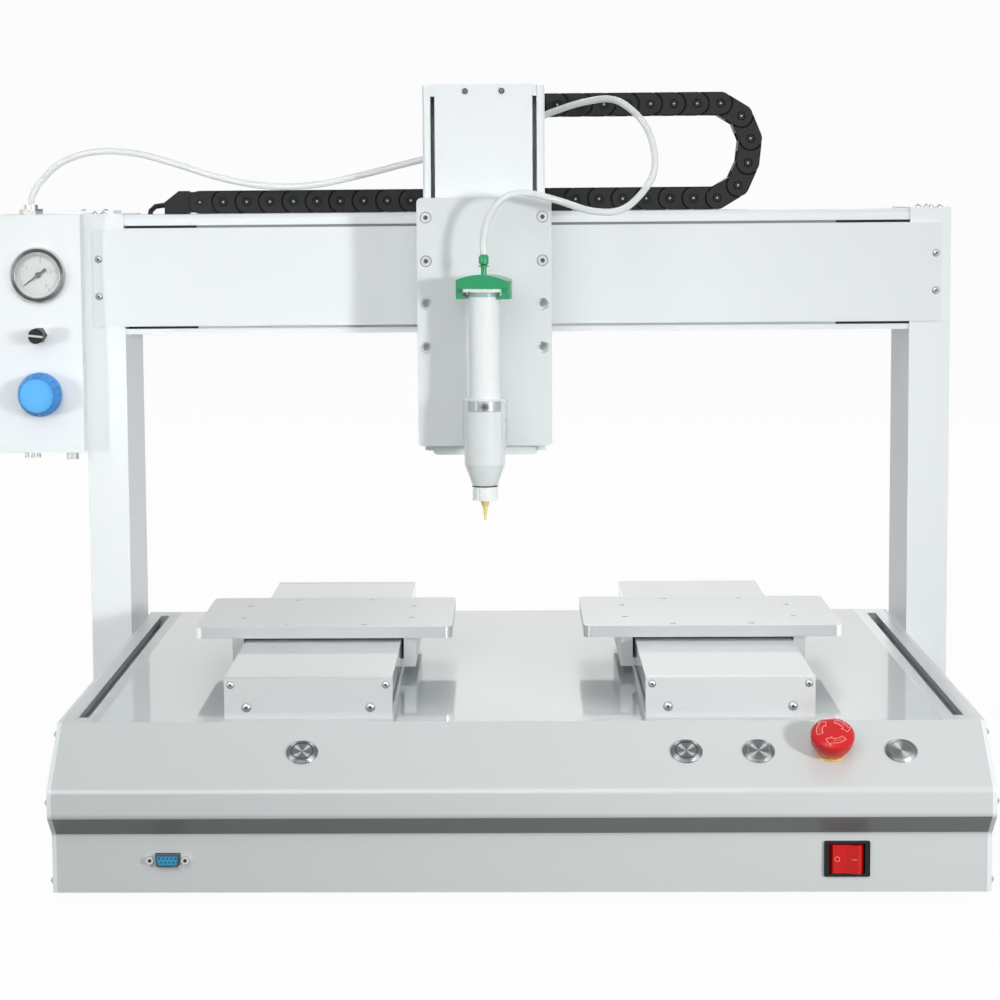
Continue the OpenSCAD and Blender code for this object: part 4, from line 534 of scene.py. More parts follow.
# The finish of each slot in the record, and of the parts that have one of their own
SLOT_FINISHES = {
    "white_paint": "powder_coat", "deck_paint": "deck_coat", "grey_paint": "front_coat",
    "alloy": "anodised", "white_plate": "plate_coat", "steel": "ground_rail",
    "screw_steel": "bright_steel", "motor_black": "motor_black", "rubber": "rubber",
    "belt": "rubber", "chain_black": "chain_black", "gauge_black": "gloss_black",
    "pointer": "pointer_grey", "lens": "lens_wall", "clear_plastic": "clear_wall",
    "clear_tube": "tube_wall", "green_plastic": "adapter_green",
    "amber_plastic": "needle_amber", "nickel": "nickel", "button_steel": "nickel",
    "fitting_nickel": "nickel", "red_plastic": "stop_red", "rocker_red": "rocker_red",
    "knob_blue": "knob_blue", "knob_black": "knob_black", "board": "board",
}
PART_FINISHES = {
    "holder_sleeve": "sleeve_wall", "y_covers": "module_cover", "gauge_case": "nickel",
    "beam_cover": "beam_coat", "tool_plate": "tool_coat", "y_end_plates": "end_plate",
}


def paint_parts():
    """Gives each carried-over part the finish of its slot, or its own."""
    for row in frame["record"]["subparts"]:
        finish = PART_FINISHES.get(row["node"], SLOT_FINISHES[row["material_slot"]])
        mesh = nodes[row["node"]].data
        mesh.materials.clear()
        mesh.materials.append(materials[finish])


def paint_faces(node, name, chosen):
    """Gives the faces of a carried-over part that chosen(middle, normal) picks their own finish."""
    mesh = nodes[node].data
    mesh.materials.append(materials[name])
    for face in mesh.polygons:
        if chosen(face.center, face.normal):
            face.material_index = len(mesh.materials) - 1


# Mesh helpers; lengths are in metres unless a comment says otherwise

def finished(name, mesh_or_bm, material, body, smooth=True, angle=35.0, extra=(), origin=None):
    """Turns a mesh into a piece with the named finishes, which rides on a body if one is given."""
    if isinstance(mesh_or_bm, bmesh.types.BMesh):
        bmesh.ops.recalc_face_normals(mesh_or_bm, faces=mesh_or_bm.faces)
        mesh = bpy.data.meshes.new(name)
        mesh_or_bm.to_mesh(mesh)
        mesh_or_bm.free()
    else:
        mesh = mesh_or_bm
    obj = bpy.data.objects.new(name, mesh)
    bpy.context.scene.collection.objects.link(obj)
    for key in (material, *extra):
        obj.data.materials.append(materials[key])
    if origin is not None:
        mesh.transform(origin.inverted())
        obj.matrix_world = origin
    if smooth:
        mesh.shade_smooth()
        mesh.set_sharp_from_angle(angle=math.radians(angle))
    if body:
        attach(obj, body)
    return obj


def give_material(verts, index):
    """Puts the faces round the vertices in another of the piece's materials."""
    for vert in verts:
        for face in vert.link_faces:
            face.material_index = index


def lathe(bm, outline, place, steps, close=True):
    """Adds a turned form round the Z axis of place; outline is (radius, height) pairs."""
    axis = place.col[2].xyz.normalized()
    side = axis.orthogonal().normalized()
    other = axis.cross(side)
    rings = []
    for radius, height in outline:
        middle = place.translation + axis * height
        if radius == 0:
            rings.append([bm.verts.new(middle)])
            continue
        rings.append([
            bm.verts.new(middle + radius * (math.cos(t) * side + math.sin(t) * other))
            for t in (2 * math.pi * i / steps for i in range(steps))
        ])
    pairs = list(zip(rings, rings[1:]))
    if close:
        pairs.append((rings[-1], rings[0]))
    for low, high in pairs:
        for i in range(steps):
            j = (i + 1) % steps
            if len(low) == 1 and len(high) == 1:
                continue
            if len(low) == 1:
                bm.faces.new((low[0], high[i], high[j]))
            elif len(high) == 1:
                bm.faces.new((low[i], low[j], high[0]))
            else:
                bm.faces.new((low[i], low[j], high[j], high[i]))
    return rings


def ring(bm, place, inner, outer, low, high, steps=64):
    """Adds a ring with square edges round the Z axis of place."""
    lathe(bm, [(inner, low), (outer, low), (outer, high), (inner, high)], place, steps)


def prism(bm, outline, low, high, place):
    """Adds a straight prism: outline is (x, y) pairs, low and high its ends along Z of place."""
    bottom = [bm.verts.new((x, y, low)) for x, y in outline]
    top = [bm.verts.new((x, y, high)) for x, y in outline]
    bm.faces.new(list(reversed(bottom)))
    bm.faces.new(top)
    count = len(outline)
    for i in range(count):
        j = (i + 1) % count
        bm.faces.new((bottom[i], bottom[j], top[j], top[i]))
    bmesh.ops.transform(bm, matrix=place, verts=bottom + top)
    return bottom + top


def box(bm, place, x0, x1, y0, y1, low, high):
    return prism(bm, [(x0, y0), (x1, y0), (x1, y1), (x0, y1)], low, high, place)


def arc(cx, cy, radius, first, last, steps):
    return [
        (cx + radius * math.cos(math.radians(first + (last - first) * i / steps)),
         cy + radius * math.sin(math.radians(first + (last - first) * i / steps)))
        for i in range(steps + 1)
    ]


def basis(x_axis, z_axis, place):
    """Matrix that puts local X and Z on the given directions, at place."""
    z = Vector(z_axis).normalized()
    x = Vector(x_axis).normalized()
    y = z.cross(x)
    matrix = Matrix((x, y, z)).transposed().to_4x4()
    matrix.translation = Vector(place)
    return matrix


def facing_front(x, y, z):
    """Matrix whose Z points to the front, at a place in machine millimetres."""
    return basis(RIGHT, FRONT, at(x, y, z))


def facing_up(x, y, z):
    return basis(RIGHT, UP, at(x, y, z))


def on_slope(x, lift=0.0):
    """Matrix whose Z stands on the control slope, in machine millimetres along it and off it."""
    return basis(RIGHT, SLOPE_OUT, at(x, 0, 0) + (SLOPE_DOWN * CONTROL_DOWN + SLOPE_OUT * lift) * MM)


# Pieces: each operator comes after the sizes and functions that it alone needs

class DISPENSER_OT_finishes(Operator):
    """Make the finishes and give one to each carried-over part"""

    bl_idname = "dispenser.finishes"
    bl_label = "Finishes"

    def execute(self, context):
        look = settings().finish
        groups["surface_grain"] = build_grain_group()
        groups["tool_lines"] = build_tool_lines_group()
        groups["edge_touch"] = build_edge_group()
        groups["spun_face"] = build_spun_sheen_group()
        make_coats(look)
        make_metals(look)
        make_plastics(look)
        make_print()
        paint_parts()
        nose_foot, fascia_top = at(0, 0, NOSE_FOOT_Z).z, at(0, 0, FASCIA_TOP_Z).z
        # Painted shade: faces under the nose take the darkened front sheet
        paint_faces("front_panel", "undercut", lambda middle, normal: (
            normal.z < -0.45 and fascia_top < middle.z < nose_foot))
        # Painted light: the knob's front faces take the lighter blue
        paint_faces("regulator_knob", "knob_face", lambda middle, normal: normal.y < -0.95)
        socket_x = at(SOCKET_X, 0, 0).x
        paint_faces("panel_sockets", "dark_metal", lambda middle, normal: (
            abs(middle.x - socket_x) < SHELL_HALF * MM and middle.y < at(0, 0, 0).y))
        clamp_low, clamp_top = at(0, 0, CLAMP_LOW_Z).z, at(0, 0, CLAMP_TOP_Z).z
        paint_faces("holder_bracket", "band_grey", lambda middle, normal: (
            clamp_low < middle.z < clamp_top and middle.y < at(0, SYRINGE_Y, 0).y))
        for node in ("y1_table", "y2_table"):
            paint_faces(node, "plate_side", lambda middle, normal: abs(normal.z) < 0.3)
            # Painted highlight on the tables' chamfered corners
            paint_faces(node, "cut_edge", lambda middle, normal: (
                abs(normal.x) > 0.25 and abs(normal.y) > 0.25 and abs(normal.z) < 0.3))
        return {"FINISHED"}


# Middle lines of the air tube's two runs, in machine millimetres, and its direction at the clip
REAR_ROUTE = (
    (-401, 405, 358), (-399, 405, 367), (-391, 406, 379), (-374, 406, 393), (-348, 407, 401),
    (-316, 408, 400), (-282, 408, 391), (-244, 409, 379), (-207, 410, 372), (-170, 410, 372),
    (-132, 411, 379), (-95, 412, 388), (-66, 412, 395), (-46, 412, 401.5), (-30, 412, 407.04),
)
FRONT_ROUTE = (
    (-30, 412, 407.04), (-15, 412, 412), (6, 412, 420), (33, 410, 431), (58, 401, 438),
    (81, 387, 439), (100, 371, 425), (110, 355, 405), (111, 338, 381), (99, 319, 362),
    (82, 303, 350), (59, 291, 350), (34, 281, 358), (11, 275, 364), (-4, 272, 363),
    (-15, 271, 355), (-22, 272, 343), (-25, 272, 330), (-25, 272, 317),
)
CLIP_HEAD = (20, 0, 7)
ROUTE_STEPS = 8


def smooth_path(route, steps):
    """Points on a smooth curve through the route, the same curve that the solids follow."""
    last = len(route) - 1
    path = []
    for i in range(last):
        p0, p1 = Vector(route[max(i - 1, 0)]), Vector(route[i])
        p2, p3 = Vector(route[i + 1]), Vector(route[min(i + 2, last)])
        for k in range(steps):
            t = k / steps
            path.append(0.5 * (2 * p1 + (p2 - p0) * t + (2 * p0 - 5 * p1 + 4 * p2 - p3) * t * t
                               + (3 * p1 - p0 - 3 * p2 + p3) * t ** 3))
    path.append(Vector(route[last]))
    return path


def swept_tube(bm, path, radius, sides, first, final):
    """Adds a round tube along the path with closed ends that face first and final."""
    heads = []
    for i in range(len(path)):
        heads.append((path[min(i + 1, len(path) - 1)] - path[max(i - 1, 0)]).normalized())
    heads[0] = Vector(first).normalized()
    heads[-1] = Vector(final).normalized()
    across = Vector((0, 1, 0))
    rings = []
    for point, head in zip(path, heads):
        across = (across - head * across.dot(head)).normalized()
        other = head.cross(across)
        rings.append([
            bm.verts.new(point + radius * (math.cos(t) * across + math.sin(t) * other))
            for t in (2 * math.pi * k / sides for k in range(sides))
        ])
    for low, high in zip(rings, rings[1:]):
        for k in range(sides):
            n = (k + 1) % sides
            bm.faces.new((low[k], low[n], high[n], high[k]))
    bm.faces.new(list(reversed(rings[0])))
    bm.faces.new(rings[-1])


class DISPENSER_OT_air_tube(Operator):
    """Lay the clear air tube from the air box past the head's clip to the syringe"""

    bl_idname = "dispenser.air_tube"
    bl_label = "Air tube"

    def execute(self, context):
        tube = settings().tube
        runs = (
            ("air_tube_rear_run", REAR_ROUTE, (0, 0, 1), CLIP_HEAD, BASE, "x_head", "air_tube_rear"),
            ("air_tube_front_run", FRONT_ROUTE, CLIP_HEAD, (0, 0, -1), "x_head", "z_head",
             "air_tube_front"),
        )
        for name, route, first, final, start_body, end_body, node in runs:
            path = smooth_path([at(*point) for point in route], ROUTE_STEPS)
            bm = bmesh.new()
            swept_tube(bm, path, tube.diameter / 2, tube.sides, first, final)
            run = finished(name, bm, "tube_wall", None)
            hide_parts(node)
            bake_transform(run)
        return {"FINISHED"}


# Energy chain, in machine millimetres: its ends and the number of links, and in degrees the lean of
# each link in the bend
CHAIN_Y, CHAIN_LOW_Z = 450.0, 358.8
FIXED_X, BEND_X, MOVING_X = -264.2, 168.5, -42.0
LOWER_LINKS, UPPER_LINKS = 22, 11
BEND_TURNS = (31, 66, 84, 112.5, 148.5)
# A link in metres: its walls, their gaps, its cross bars and the bevel of its outer edge
LINK_WALL, LINK_GAP, LINK_BAR, LINK_EDGE = 0.0022, 0.0003, 0.002, 0.0006
# How much lower its inner wall is, how far the web and the bars reach into the walls, and how short
# the bars stop of the next pivot
LINK_STEP, WEB_LAP, BAR_LAP, BAR_SHORT = 0.0009, 0.0004, 0.0005, 0.003
# The boss over a pivot and its pin: (radius, level) pairs from the boss's face, which stands proud
BOSS_PROUD = 0.0001
PIVOT_BOSS = (
    (0.0036, -0.0009), (0.0036, 0), (0.0030, 0), (0.0027, -0.0006), (0.0012, -0.0006), (0, -0.0006),
)
PIVOT_PIN = ((0.0009, -0.0007), (0.0008, -0.0001), (0, -0.00005))


def add_side_wall(bm, place, side, outline_at, step_y, outer_y):
    """Adds a link's outer wall on one side; outline_at gives its outline for an inset."""
    rings = []
    for inset, level in ((0, step_y), (0, outer_y - LINK_EDGE), (LINK_EDGE, outer_y)):
        rings.append([bm.verts.new(place @ Vector((x, y, -side * level)))
                      for x, y in outline_at(inset)])
    bm.faces.new(rings[0])
    bm.faces.new(rings[-1])
    for low, high in zip(rings, rings[1:]):
        for i in range(len(low)):
            j = (i + 1) % len(low)
            bm.faces.new((low[i], low[j], high[j], high[i]))


def add_pivots(bm, place, side, pitch, face):
    """Adds the boss over each of a link's pivots, with its groove, and the pin in the first one."""
    boss = [(radius, -side * (face + level)) for radius, level in PIVOT_BOSS]
    for centre in (0.0, pitch):
        lathe(bm, boss, place @ Matrix.Translation((centre, 0, 0)), 20, close=False)
    pin = [(radius, -side * (face + level)) for radius, level in PIVOT_PIN]
    # The pin takes the light grey of a painted highlight
    for verts in lathe(bm, pin, place, 12, close=False):
        give_material(verts, 1)


def add_link(bm, chain, pitch, x, z, turn):
    """Adds one link of the energy chain from the pivot at (x, z), turned about its axis."""
    r = chain.height / 2
    inner_r = r - LINK_STEP
    outer_y = chain.width / 2
    step_y = outer_y - LINK_WALL
    inner_y = step_y - LINK_GAP - LINK_WALL
    near, far = inner_r + LINK_GAP, pitch - r - LINK_GAP
    upright = Matrix.Translation(at(x, CHAIN_Y, z)) @ Matrix.Rotation(-turn, 4, "Y")
    lay = upright @ Matrix.Rotation(math.pi / 2, 4, "X")

    def outer_outline(inset):
        hollow = r + LINK_GAP + inset
        reach = math.degrees(math.asin(min((r - inset) / hollow, 0.97)))
        return arc(0, 0, r - inset, 90, 270, 16) + arc(pitch, 0, hollow, 180 + reach, 180 - reach, 14)

    inner = arc(pitch, 0, inner_r, -90, 90, 14) + [(near, inner_r), (near, -inner_r)]
    web_y = r - LINK_GAP
    for side in (-1, 1):
        add_side_wall(bm, lay, side, outer_outline, step_y, outer_y)
        low, high = sorted((-side * (step_y - LINK_GAP), -side * inner_y))
        prism(bm, inner, low, high, lay)
        low, high = sorted((-side * (step_y + WEB_LAP), -side * inner_y))
        box(bm, lay, near, far, -web_y, web_y, low, high)
        add_pivots(bm, lay, side, pitch, outer_y + BOSS_PROUD)
    bar_y = inner_y + BAR_LAP
    for level in (-r, r - LINK_BAR):
        box(bm, upright, near, pitch - BAR_SHORT, -bar_y, bar_y, level, level + LINK_BAR)


class DISPENSER_OT_energy_chain(Operator):
    """Build the energy chain: lower run, bend and upper run"""

    bl_idname = "dispenser.energy_chain"
    bl_label = "Energy chain"

    def execute(self, context):
        chain = settings().chain
        bend_pitch = chain.pitch / MM
        lower_pitch = (BEND_X - FIXED_X) / LOWER_LINKS
        bend, x, z = [], BEND_X, CHAIN_LOW_Z
        for turn in (math.radians(t) for t in BEND_TURNS):
            bend.append((x, z, turn))
            x, z = x + bend_pitch * math.cos(turn), z + bend_pitch * math.sin(turn)
        upper_pitch = (x - MOVING_X) / UPPER_LINKS
        runs = {
            "chain_lower": (lower_pitch, [(FIXED_X + i * lower_pitch, CHAIN_LOW_Z, 0)
                                          for i in range(LOWER_LINKS)]),
            "chain_upper": (upper_pitch, [(x - i * upper_pitch, z, math.pi)
                                          for i in range(UPPER_LINKS)]),
            "chain_bend": (bend_pitch, bend),
        }
        for node, (pitch, links) in runs.items():
            bm = bmesh.new()
            for place_x, place_z, turn in links:
                add_link(bm, chain, pitch * MM, place_x, place_z, turn)
            body = "chain_loop" if node == "chain_bend" else None
            run = finished(node + "_links", bm, "chain_black", body, angle=30,
                           extra=("pin_grey",))
            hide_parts(node)
            # The bend moves half as far as the head
            if node == "chain_lower":
                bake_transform(run)
            elif node == "chain_upper":
                at(2 * x - MOVING_X, CHAIN_Y, z)
                at(MOVING_X, CHAIN_Y, z)
                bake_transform(run)
        return {"FINISHED"}


# Dial of the gauge, in metres and degrees; the marks, figures and bezel are measured from its middle
DIAL_START, DIAL_SWEEP, DIAL_STEPS = 216, 270, 40
DIAL_HOLE, DIAL_EDGE = 0.0012, 0.0189
DIAL_BACK, DIAL_FACE = 0.00005, 0.00025
MARK_EDGE, MARK_INK = 0.0160, 0.0001
LONG_MARK, MIDDLE_MARK, SHORT_MARK = 0.0028, 0.0020, 0.0012
LONG_HALF, SHORT_HALF = 0.00020, 0.00012
FIGURES, FIGURE_STEP, FIGURE_AT, FIGURE_SIZE = 5, 2, 0.0108, 0.0030
FIGURE_LIFT, FIGURE_INK = 0.00006, 0.00004
BEZEL = (
    (0.0187, 0.0052), (0.0187, 0.0062), (0.0195, 0.0068), (0.0205, 0.0069), (0.0214, 0.0064),
    (0.0219, 0.0055), (0.0219, 0.0052),
)
# The slot in the valve's knob: its turn in degrees, then its sides and levels in metres
VALVE_TURN = -6
VALVE_SLOT = (-0.0058, 0.0058, -0.0008, 0.0008, 0.0184, 0.0212)


def text_piece(name, words, size, place, material, body):
    """Flat letters as a mesh, in the local XY plane of place."""
    curve = bpy.data.curves.new(name, "FONT")
    curve.body = words
    curve.size = size
    curve.align_x = "CENTER"
    curve.align_y = "CENTER"
    curve.extrude = FIGURE_INK
    curve.resolution_u = 3
    holder = bpy.data.objects.new(name + "_curve", curve)
    bpy.context.scene.collection.objects.link(holder)
    bpy.context.view_layer.update()
    mesh = bpy.data.meshes.new_from_object(holder)
    bpy.data.objects.remove(holder)
    mesh.transform(place)
    return finished(name, mesh, material, body, smooth=False)


def dial_turn(share):
    """Angle of a place on the dial's scale, from 0 at its start to 1 at its end."""
    return math.radians(DIAL_START - DIAL_SWEEP * share)


class DISPENSER_OT_gauge(Operator):
    """Print the gauge's dial, fit its bezel ring and mark the slot in the valve's knob"""

    bl_idname = "dispenser.gauge"
    bl_label = "Gauge and valve"

    def execute(self, context):
        front = facing_front(*GAUGE)
        bm = bmesh.new()
        ring(bm, front, DIAL_HOLE, DIAL_EDGE, DIAL_BACK, DIAL_FACE)
        finished("gauge_dial", bm, "dial_white", BASE)

        bm = bmesh.new()
        ink = DIAL_FACE + MARK_INK
        for i in range(DIAL_STEPS + 1):
            long = i % 10 == 0
            length = LONG_MARK if long else MIDDLE_MARK if i % 5 == 0 else SHORT_MARK
            half = LONG_HALF if long else SHORT_HALF
            spin = front @ Matrix.Rotation(dial_turn(i / DIAL_STEPS), 4, "Z")
            box(bm, spin, MARK_EDGE - length, MARK_EDGE, -half, half, DIAL_FACE, ink)
        ring(bm, front, MARK_EDGE, MARK_EDGE + MARK_INK, DIAL_FACE, ink)
        finished("gauge_marks", bm, "mark_grey", BASE, smooth=False)

        bm = bmesh.new()
        # The bezel's bright and dark wedges are painted highlights
        lathe(bm, BEZEL, front, 96)
        finished("gauge_bezel", bm, "bezel_steel", BASE, origin=front)

        for i in range(FIGURES):
            turn = dial_turn(i / (FIGURES - 1))
            spot = front @ Matrix.Translation(
                (FIGURE_AT * math.cos(turn), FIGURE_AT * math.sin(turn), DIAL_FACE + FIGURE_LIFT))
            text_piece("gauge_number_%d" % i, str(i * FIGURE_STEP), FIGURE_SIZE, spot, "mark_grey",
                       BASE)

        bm = bmesh.new()
        box(bm, facing_front(*VALVE) @ Matrix.Rotation(math.radians(VALVE_TURN), 4, "Z"), *VALVE_SLOT)
        finished("valve_slot", bm, "nickel", "suckback", smooth=False)
        return {"FINISHED"}


# Turned outlines on the slope, in metres: (radius, height) pairs, or inner, outer, low and high
# The gaps round the button faces are dark rings of painted shade
WIDE_GAP = (0.0071, 0.00793, 0.00208, 0.00232)
NARROW_GAP = (0.0076, 0.00788, -0.0016, 0.0016)
BUTTON_RING = (
    (0.01103, 0.0002), (0.01103, 0.00082), (0.00944, 0.00223), (0.00795, 0.00223),
    (0.00795, 0.0021), (0.0093, 0.0021), (0.0109, 0.0002),
)
BUTTON_FACE = (
    (0, 0.00128), (0, 0.00133), (0.00408, 0.00133), (0.00603, 0.00203), (0.0073, 0.00203),
    (0.00748, 0.0019), (0.0073, 0.0018),
)
STOP_RING = (
    (0.0084, 0.0001), (0.01033, 0.0001), (0.01033, 0.0018), (0.0101, 0.00203), (0.00853, 0.00203),
    (0.00853, 0.0075), (0.0084, 0.0075),
)
STOP_SKIRT = (
    (0.0150, 0.0138), (0.0146, 0.0105), (0.0132, 0.0072), (0.0118, 0.0050), (0.0111, 0.0049),
    (0.0108, 0.0076),
)
# The stop's face stands this far off the slope, in machine millimetres
STOP_HEAD_RISE = 20.0
# Turn arrows on it, in metres and degrees
ARROW_STARTS, ARROW_STEPS, ARROW_TURN, ARROW_SWEEP = (78, 198, 318), 16, 4, 84
ARROW_INNER, ARROW_OUTER, ARROW_TIP = 0.0074, 0.0112, 0.0094
WING_INNER, WING_OUTER = 0.0058, 0.0127
ARROW_LINE, HATCH_LINE, HATCH_INSET, ARROW_LIFT = 0.00042, 0.0003, 0.0009, 0.00012
# The head is flat in the middle and falls away in two steps: where each starts, and its slope
HEAD_FALLS = ((0.008, 0.175), (0.012, 0.4))


def add_line_on_head(bm, face, loop, width):
    """Adds a thin closed line on the stop's head; loop is (radius, degrees) pairs round its middle."""

    def spot(radius, turn):
        fall = sum(slope * max(radius - start, 0) for start, slope in HEAD_FALLS)
        return face @ Vector((radius * math.cos(math.radians(turn)),
                              radius * math.sin(math.radians(turn)), ARROW_LIFT - fall))

    finer = []
    for (r0, t0), (r1, t1) in zip(loop, loop[1:] + loop[:1]):
        finer += [(r0 + (r1 - r0) * k / 4, t0 + (t1 - t0) * k / 4) for k in range(4)]
    for first, last in zip(finer, finer[1:] + finer[:1]):
        low, high = spot(*first), spot(*last)
        across = (high - low).normalized().cross(SLOPE_OUT) * width / 2
        bm.faces.new([bm.verts.new(v) for v in (low + across, high + across, high - across,
                                                low - across)])


def add_turn_arrow(bm, face, first):
    """Adds one hatched turn arrow that starts at the angle first."""
    turns = [first - ARROW_TURN * i for i in range(ARROW_STEPS)]
    loop = [(ARROW_OUTER, turn) for turn in turns]
    loop += [(WING_OUTER, turns[-1]), (ARROW_TIP, first - ARROW_SWEEP), (WING_INNER, turns[-1])]
    loop += [(ARROW_INNER, turn) for turn in reversed(turns)]
    add_line_on_head(bm, face, loop, ARROW_LINE)
    for turn in turns[2:-2:2]:
        hatch = [(ARROW_INNER + HATCH_INSET, turn), (ARROW_OUTER - HATCH_INSET, turn)]
        add_line_on_head(bm, face, hatch, HATCH_LINE)


class DISPENSER_OT_controls(Operator):
    """Face the push buttons with turned steel that carries painted highlights, and dress the emergency
    stop
    """

    bl_idname = "dispenser.controls"
    bl_label = "Buttons and stop"

    def execute(self, context):
        for number, x in enumerate(BUTTONS, 1):
            middle = on_slope(x)
            # Button faces and rings take turned steel with painted highlights: bright and dark wedges
            turned = "spun_steel" if number == 4 else "spun_cross"
            wide = number <= 2
            # A dark ring of painted shade in the gap round the button face
            bm = bmesh.new()
            ring(bm, middle, *(WIDE_GAP if wide else NARROW_GAP))
            finished("button_gap_%d" % number, bm, "ring_grey" if wide else "dark_gap", BASE)
            bm = bmesh.new()
            lathe(bm, BUTTON_RING, middle, 64)
            finished("button_ring_%d" % number, bm, turned, BASE, origin=middle)
            bm = bmesh.new()
            lathe(bm, BUTTON_FACE, middle, 64)
            finished("button_face_%d" % number, bm, turned, "push_%d" % number,
                     origin=middle)
        bm = bmesh.new()
        lathe(bm, STOP_RING, on_slope(STOP_X), 64)
        finished("stop_ring", bm, "stop_orange", BASE)
        bm = bmesh.new()
        lathe(bm, STOP_SKIRT, on_slope(STOP_X), 64)
        finished("stop_skirt", bm, "stop_red", "stop")
        bm = bmesh.new()
        for first in ARROW_STARTS:
            add_turn_arrow(bm, on_slope(STOP_X, STOP_HEAD_RISE), first)
        finished("stop_arrows", bm, "mark_pink", "stop", smooth=False)
        return {"FINISHED"}


# Marks on the rocker, in metres and degrees
ROCKER_AXIS, ROCKER_MARK_X, ROCKER_MARK_RISE, ROCKER_LEAN = 0.003, 0.0058, 0.00713, 9.09
ROCKER_INK = 0.00006
ROCKER_RING = (0.00145, 0.00175, 0, ROCKER_INK)
ROCKER_BAR = (-0.0018, 0.0018, -0.00016, 0.00016, 0, ROCKER_INK)
# The serial socket's insert, and its holes painted as dark discs of shade, in metres
INSERT = ((-0.0076, 0.0034), (0.0076, 0.0034), (0.0066, -0.0034), (-0.0066, -0.0034))
INSERT_BACK, INSERT_FACE = 0.0024, 0.0041
PINS, TOP_PINS, PIN_PITCH, PIN_ROW, PIN_RADIUS = 9, 5, 0.00275, 0.0014, 0.00062
JACK_X, JACK_FACE, JACK_RADIUS = 0.01215, 0.0045, 0.0013
PIN_SHADE_THICKNESS, JACK_SHADE_THICKNESS = 0.00004, 0.00006


class DISPENSER_OT_front_sockets(Operator):
    """Dress the rocker with its frame and marks, and the serial socket with its blue insert"""

    bl_idname = "dispenser.front_sockets"
    bl_label = "Rocker and socket"

    def execute(self, context):
        paint_faces("control_bezels", "gloss_black", lambda middle, normal: (
            abs(middle.x - at(ROCKER_X, 0, 0).x) < ROCKER_HALF * MM
            and middle.z < at(0, 0, ROCKER_TOP_Z).z))
        front = facing_front(ROCKER_X, FASCIA_Y, FASCIA_Z)
        rock = front @ Matrix.Translation((0, 0, -ROCKER_AXIS)) @ Matrix.Rotation(-ROCKER_TILT, 4, "Y")
        bm = bmesh.new()
        for side in (-1, 1):
            lean = Matrix.Rotation(math.radians(-side * ROCKER_LEAN), 4, "Y")
            spot = rock @ Matrix.Translation((side * ROCKER_MARK_X, 0, ROCKER_MARK_RISE)) @ lean
            if side < 0:
                ring(bm, spot, *ROCKER_RING, 32)
            else:
                box(bm, spot, *ROCKER_BAR)
        finished("rocker_marks", bm, "mark_pink", "power_rocker", smooth=False)

        front = facing_front(SOCKET_X, FASCIA_Y, FASCIA_Z)
        bm = bmesh.new()
        prism(bm, INSERT, INSERT_BACK, INSERT_FACE, front)
        finished("socket_insert", bm, "socket_blue", BASE, smooth=False)
        # Painted shade: dark discs on the insert and on the jack screws stand for their holes
        bm = bmesh.new()
        for i in range(PINS):
            top = i < TOP_PINS
            x = (i - 2 if top else i - 6.5) * PIN_PITCH
            spot = front @ Matrix.Translation((x, PIN_ROW if top else -PIN_ROW, INSERT_FACE))
            prism(bm, arc(0, 0, PIN_RADIUS, 0, 340, 12), 0, PIN_SHADE_THICKNESS, spot)
        for side in (-1, 1):
            spot = front @ Matrix.Translation((side * JACK_X, 0, JACK_FACE))
            prism(bm, arc(0, 0, JACK_RADIUS, 0, 340, 16), 0, JACK_SHADE_THICKNESS, spot)
        finished("socket_holes", bm, "dark_gap", BASE, smooth=False)
        return {"FINISHED"}


# Screw places, in machine millimetres
SIDE_PLATE_X = 322
SIDE_PLATE_SCREWS = ((-3, -8), (-48, -46.5), (-30, -105), (502, -8), (502, -105))
BEAM_SCREW_X, BEAM_COVER_FRONT, BEAM_MIDDLE_Z, BEAM_SCREW_RISE = 343, 385, 297.75, 15.2
CAP_SCREWS_X, CAP_SCREWS_Y, CAP_TOP = (341, 348), (405, 477), 350
MODULE_X, MODULE_END = 147.5, 12
HANGER_SCREWS_X, HANGER_Y, HANGER_TOP = (-362, -344), 440, 352.5
Z_COVER_SCREW_X, Z_COVER_FRONT, Z_COVER_SCREW_Z = 14.5, 325, 445
PLATE_SCREW_X, PLATE_FRONT, PLATE_SCREWS_Z = 46.3, 312.5, (345.6, 311.1)
CLAMP_SCREW = (HEAD_X, 254.0, 199.15)
# Their sockets, painted as dark marks of shade, in metres: the width, and the level of the mark above
# the screw's place
SIDE_SOCKET, BEAM_SOCKET, CAP_SOCKET = (0.0022, 0.002), (0.002, 0.0018), (0.002, 0.002)
HANGER_SOCKET, Z_COVER_SOCKET = (0.0026, 0.0012), (0.0016, 0.0012)
PLATE_SOCKET, CLAMP_SOCKET = (0.0032, 0.00006), (0.0032, -0.00096)
SOCKET_SHADE_THICKNESS = 0.00006
# An end plate's screws: x from the module's middle, z, and their sockets
END_PLATE_SCREWS = ((54.5, 24, (0.0018, 0.0016)), (43.5, 8, (0.0023, 0.0019)))
# Rings in and round the screw heads, in metres: inner, outer, low and high
Z_COVER_RING = (0.0011, 0.0024, 0.001, 0.00122)
PLATE_RING = (0.0018, 0.0042, 0.00002, 0.0001)
# PLATE_GAP is a dark ring of painted shade round each head in its counterbore
PLATE_GAP = (0.0041, 0.0047, 0.00003, 0.00012)
CLAMP_RING = (0.0020, 0.0028, 0.00002, 0.00012)


def hex_socket(bm, place, width, level):
    """Adds a dark six-sided mark at its level above a screw's place, painted shade for the socket's
    recess.
    """
    prism(bm, arc(0, 0, width / math.sqrt(3), 0, 300, 5), level, level + SOCKET_SHADE_THICKNESS, place)


